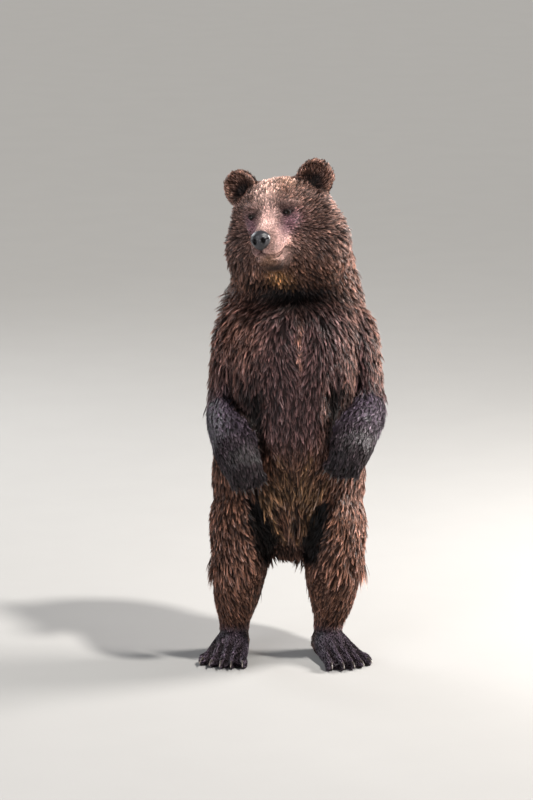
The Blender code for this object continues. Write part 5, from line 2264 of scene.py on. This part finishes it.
@dataclass(frozen=True)
class Lamp:
    """A round area light: where it hangs, its width, its power in watts and its colour."""

    name: str
    place: Triple
    size: float
    power: float
    tint: Triple

    def build(self, target: Vector) -> None:
        """Hangs the light, aimed at the target.

        Args:
            target: Where it aims.
        """
        data = bpy.data.lights.new(self.name, "AREA")
        data.shape = "DISK"
        data.size = self.size
        data.energy = self.power
        data.color = self.tint
        item = linked(self.name, data)
        item.location = self.place
        item.rotation_euler = (target - Vector(self.place)).to_track_quat("-Z", "Y").to_euler()


@dataclass(frozen=True)
class Studio:
    """The floor, the lights and the camera."""

    anatomy: Anatomy
    floor_radius: float = 70.0
    distance: float = 14.0
    elevation: float = math.radians(12)
    scale: float = 0.00381
    frame_height: int = 800
    sensor: float = 36.0
    aim: Triple = (-0.0857, 0.0, 1.009)
    chest: Triple = (0, 0, 1.0)
    sun_power: float = 4.3
    sun_width: float = math.radians(5)
    sun_place: Triple = (0.56, -0.42, 1.05)
    sun_tint: Triple = (1.0, 0.965, 0.92)
    sky: tuple[float, ...] = (0.94, 0.96, 1.0, 1)
    sky_strength: float = 0.20
    lamps: tuple[Lamp, ...] = (
        Lamp("fill", (-4.2, -5.4, 2.6), 3.6, 230, (0.94, 0.95, 1.0)),
        Lamp("side", (4.2, 1.2, 2.6), 1.6, 570, (1.0, 0.955, 0.92)),
        Lamp("back", (-3.6, 4.4, 3.6), 3.0, 160, (0.95, 0.97, 1.0)),
    )

    def floor(self) -> bpy.types.Object:
        """A wide pale disc.

        Returns:
            The disc.
        """
        form = bmesh.new()
        bmesh.ops.create_circle(form, cap_ends=True, radius=self.floor_radius, segments=96)
        item = linked("studio_floor", mesh_of(form, "studio_floor"))
        item.data.materials.append(FloorFinish().build())
        return item

    def lights(self) -> None:
        """A soft high key from the bear's left, with weaker fill and light from behind."""
        sun = bpy.data.lights.new("key", "SUN")
        sun.energy = self.sun_power
        sun.angle = self.sun_width
        sun.color = self.sun_tint
        key = linked("key", sun)
        key.rotation_euler = Vector(self.sun_place).to_track_quat("Z", "Y").to_euler()
        for lamp in self.lamps:
            lamp.build(Vector(self.chest))
        world = bpy.data.worlds.new("studio")
        bpy.context.scene.world = world
        world.use_nodes = True
        background = world.node_tree.nodes["Background"]
        background.inputs["Color"].default_value = self.sky
        background.inputs["Strength"].default_value = self.sky_strength

    def camera(self) -> None:
        """The camera, a little above the bear and square to its chest."""
        data = bpy.data.cameras.new("camera")
        data.sensor_width = self.sensor
        data.lens = self.sensor * self.distance / (self.frame_height * self.scale)
        data.clip_end = 200
        item = linked("camera", data)
        back = Vector((0, -math.cos(self.elevation), math.sin(self.elevation)))
        item.location = Vector(self.aim) + Vector(self.anatomy.shift) + back * self.distance
        item.rotation_euler = (math.pi / 2 - self.elevation, 0, 0)
        bpy.context.scene.camera = item

    def build(self) -> None:
        """Sets the studio up."""
        self.floor()
        self.lights()
        self.camera()
        bpy.context.scene.view_settings.view_transform = "Standard"


class Bear:
    """The whole bear, built and dressed piece by piece."""

    def __init__(self, nodes: dict) -> None:
        """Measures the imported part.

        Args:
            nodes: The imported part's nodes.
        """
        self.nodes = nodes
        self.anatomy = Anatomy(nodes)
        self.markings = Markings(self.anatomy)

    @staticmethod
    def place(item: bpy.types.Object, slot: Slot, finish: bpy.types.Material | None, *stood: str) -> None:
        """Dresses a piece, hangs it on the body's empty, and hides the nodes that it stands for.

        Args:
            item: The piece.
            slot: Not used.
            finish: Its material, or None if it has it already.
            *stood: The nodes that it stands for.
        """
        if finish:
            item.data.materials.clear()
            item.data.materials.append(finish)
        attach(item, BODY)
        if stood:
            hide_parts(*stood)
        LOG.info("%s: %d faces", item.name, len(item.data.polygons))

    def skin(self) -> Skin:
        """Builds the skin.

        Returns:
            The skin, which the coat grows from.
        """
        skin = Skin(self.anatomy, self.nodes)
        item = skin.build()
        tone, _ = self.markings.tones(skin.graph.points, skin.normals, skin.kinds)
        pads = skin.pads()
        face = rise(-0.10, -0.16, skin.head[:, 1]) * np.isin(skin.kinds, ("head", "lower_jaw"))
        tone = blend(tone * (0.22 + 0.28 * face)[:, None], self.markings.pad, pads)
        tone = blend(tone, self.markings.dark * 0.5, skin.bare)
        nearest = skin.sampled(item.data)
        coloured(item.data, "tone", tone[nearest])
        valued(item.data, "bare", np.maximum(pads, skin.bare)[nearest])
        self.place(item, Slot.BROWN, SkinFinish().build(), *FLESH)
        return skin

    def coat(self, skin: Skin) -> None:
        """Grows and dresses the coat.

        Args:
            skin: The finished skin.
        """
        finishes = {
            Slot.BROWN: FurFinish("wet_brown_fur").build(),
            Slot.BLACK: FurFinish("wet_black_fur", 0.40, 0.28, 0.60).build(),
            Slot.MUZZLE: FurFinish("short_muzzle_fur", 0.60, 0.20, 0.35).build(),
        }
        items = CoatBuilder(self.anatomy, skin, self.markings).grow()
        for piece, item in zip(coat_pieces(), items):
            self.place(item, piece.slot, finishes[piece.slot])

    def build(self) -> None:
        """Builds every piece."""
        skin = self.skin()
        self.coat(skin)
        eye = EyeFinish().build()
        horns = {
            ClawKind.HIND: HornFinish("hind_claw_horn").build(),
            ClawKind.FORE: HornFinish("fore_claw_horn", (0.14, 0.11, 0.095)).build(),
        }
        for side in SIDES:
            self.place(Eyeball(self.anatomy, side).build(), Slot.EYE, eye, f"{side}_eye")
            for kind in ClawKind:
                row = ClawRow(side, kind).build(self.anatomy, horns[kind])
                stood = [f"{side}_{kind.value}_claw_{toe}" for toe in range(1, TOES + 1)]
                self.place(row, Slot.CLAW, None, *stood)
        self.place(Nose(self.anatomy).build(), Slot.NOSE, LeatherFinish().build(), "nose")


def main() -> None:
    """Builds the bear in its studio."""
    logging.basicConfig(level=logging.INFO, format="%(name)s: %(message)s")
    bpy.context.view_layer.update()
    Bear(frame["nodes"]).build()
    Studio(Anatomy(frame["nodes"])).build()


if __name__ == "__main__":
    main()
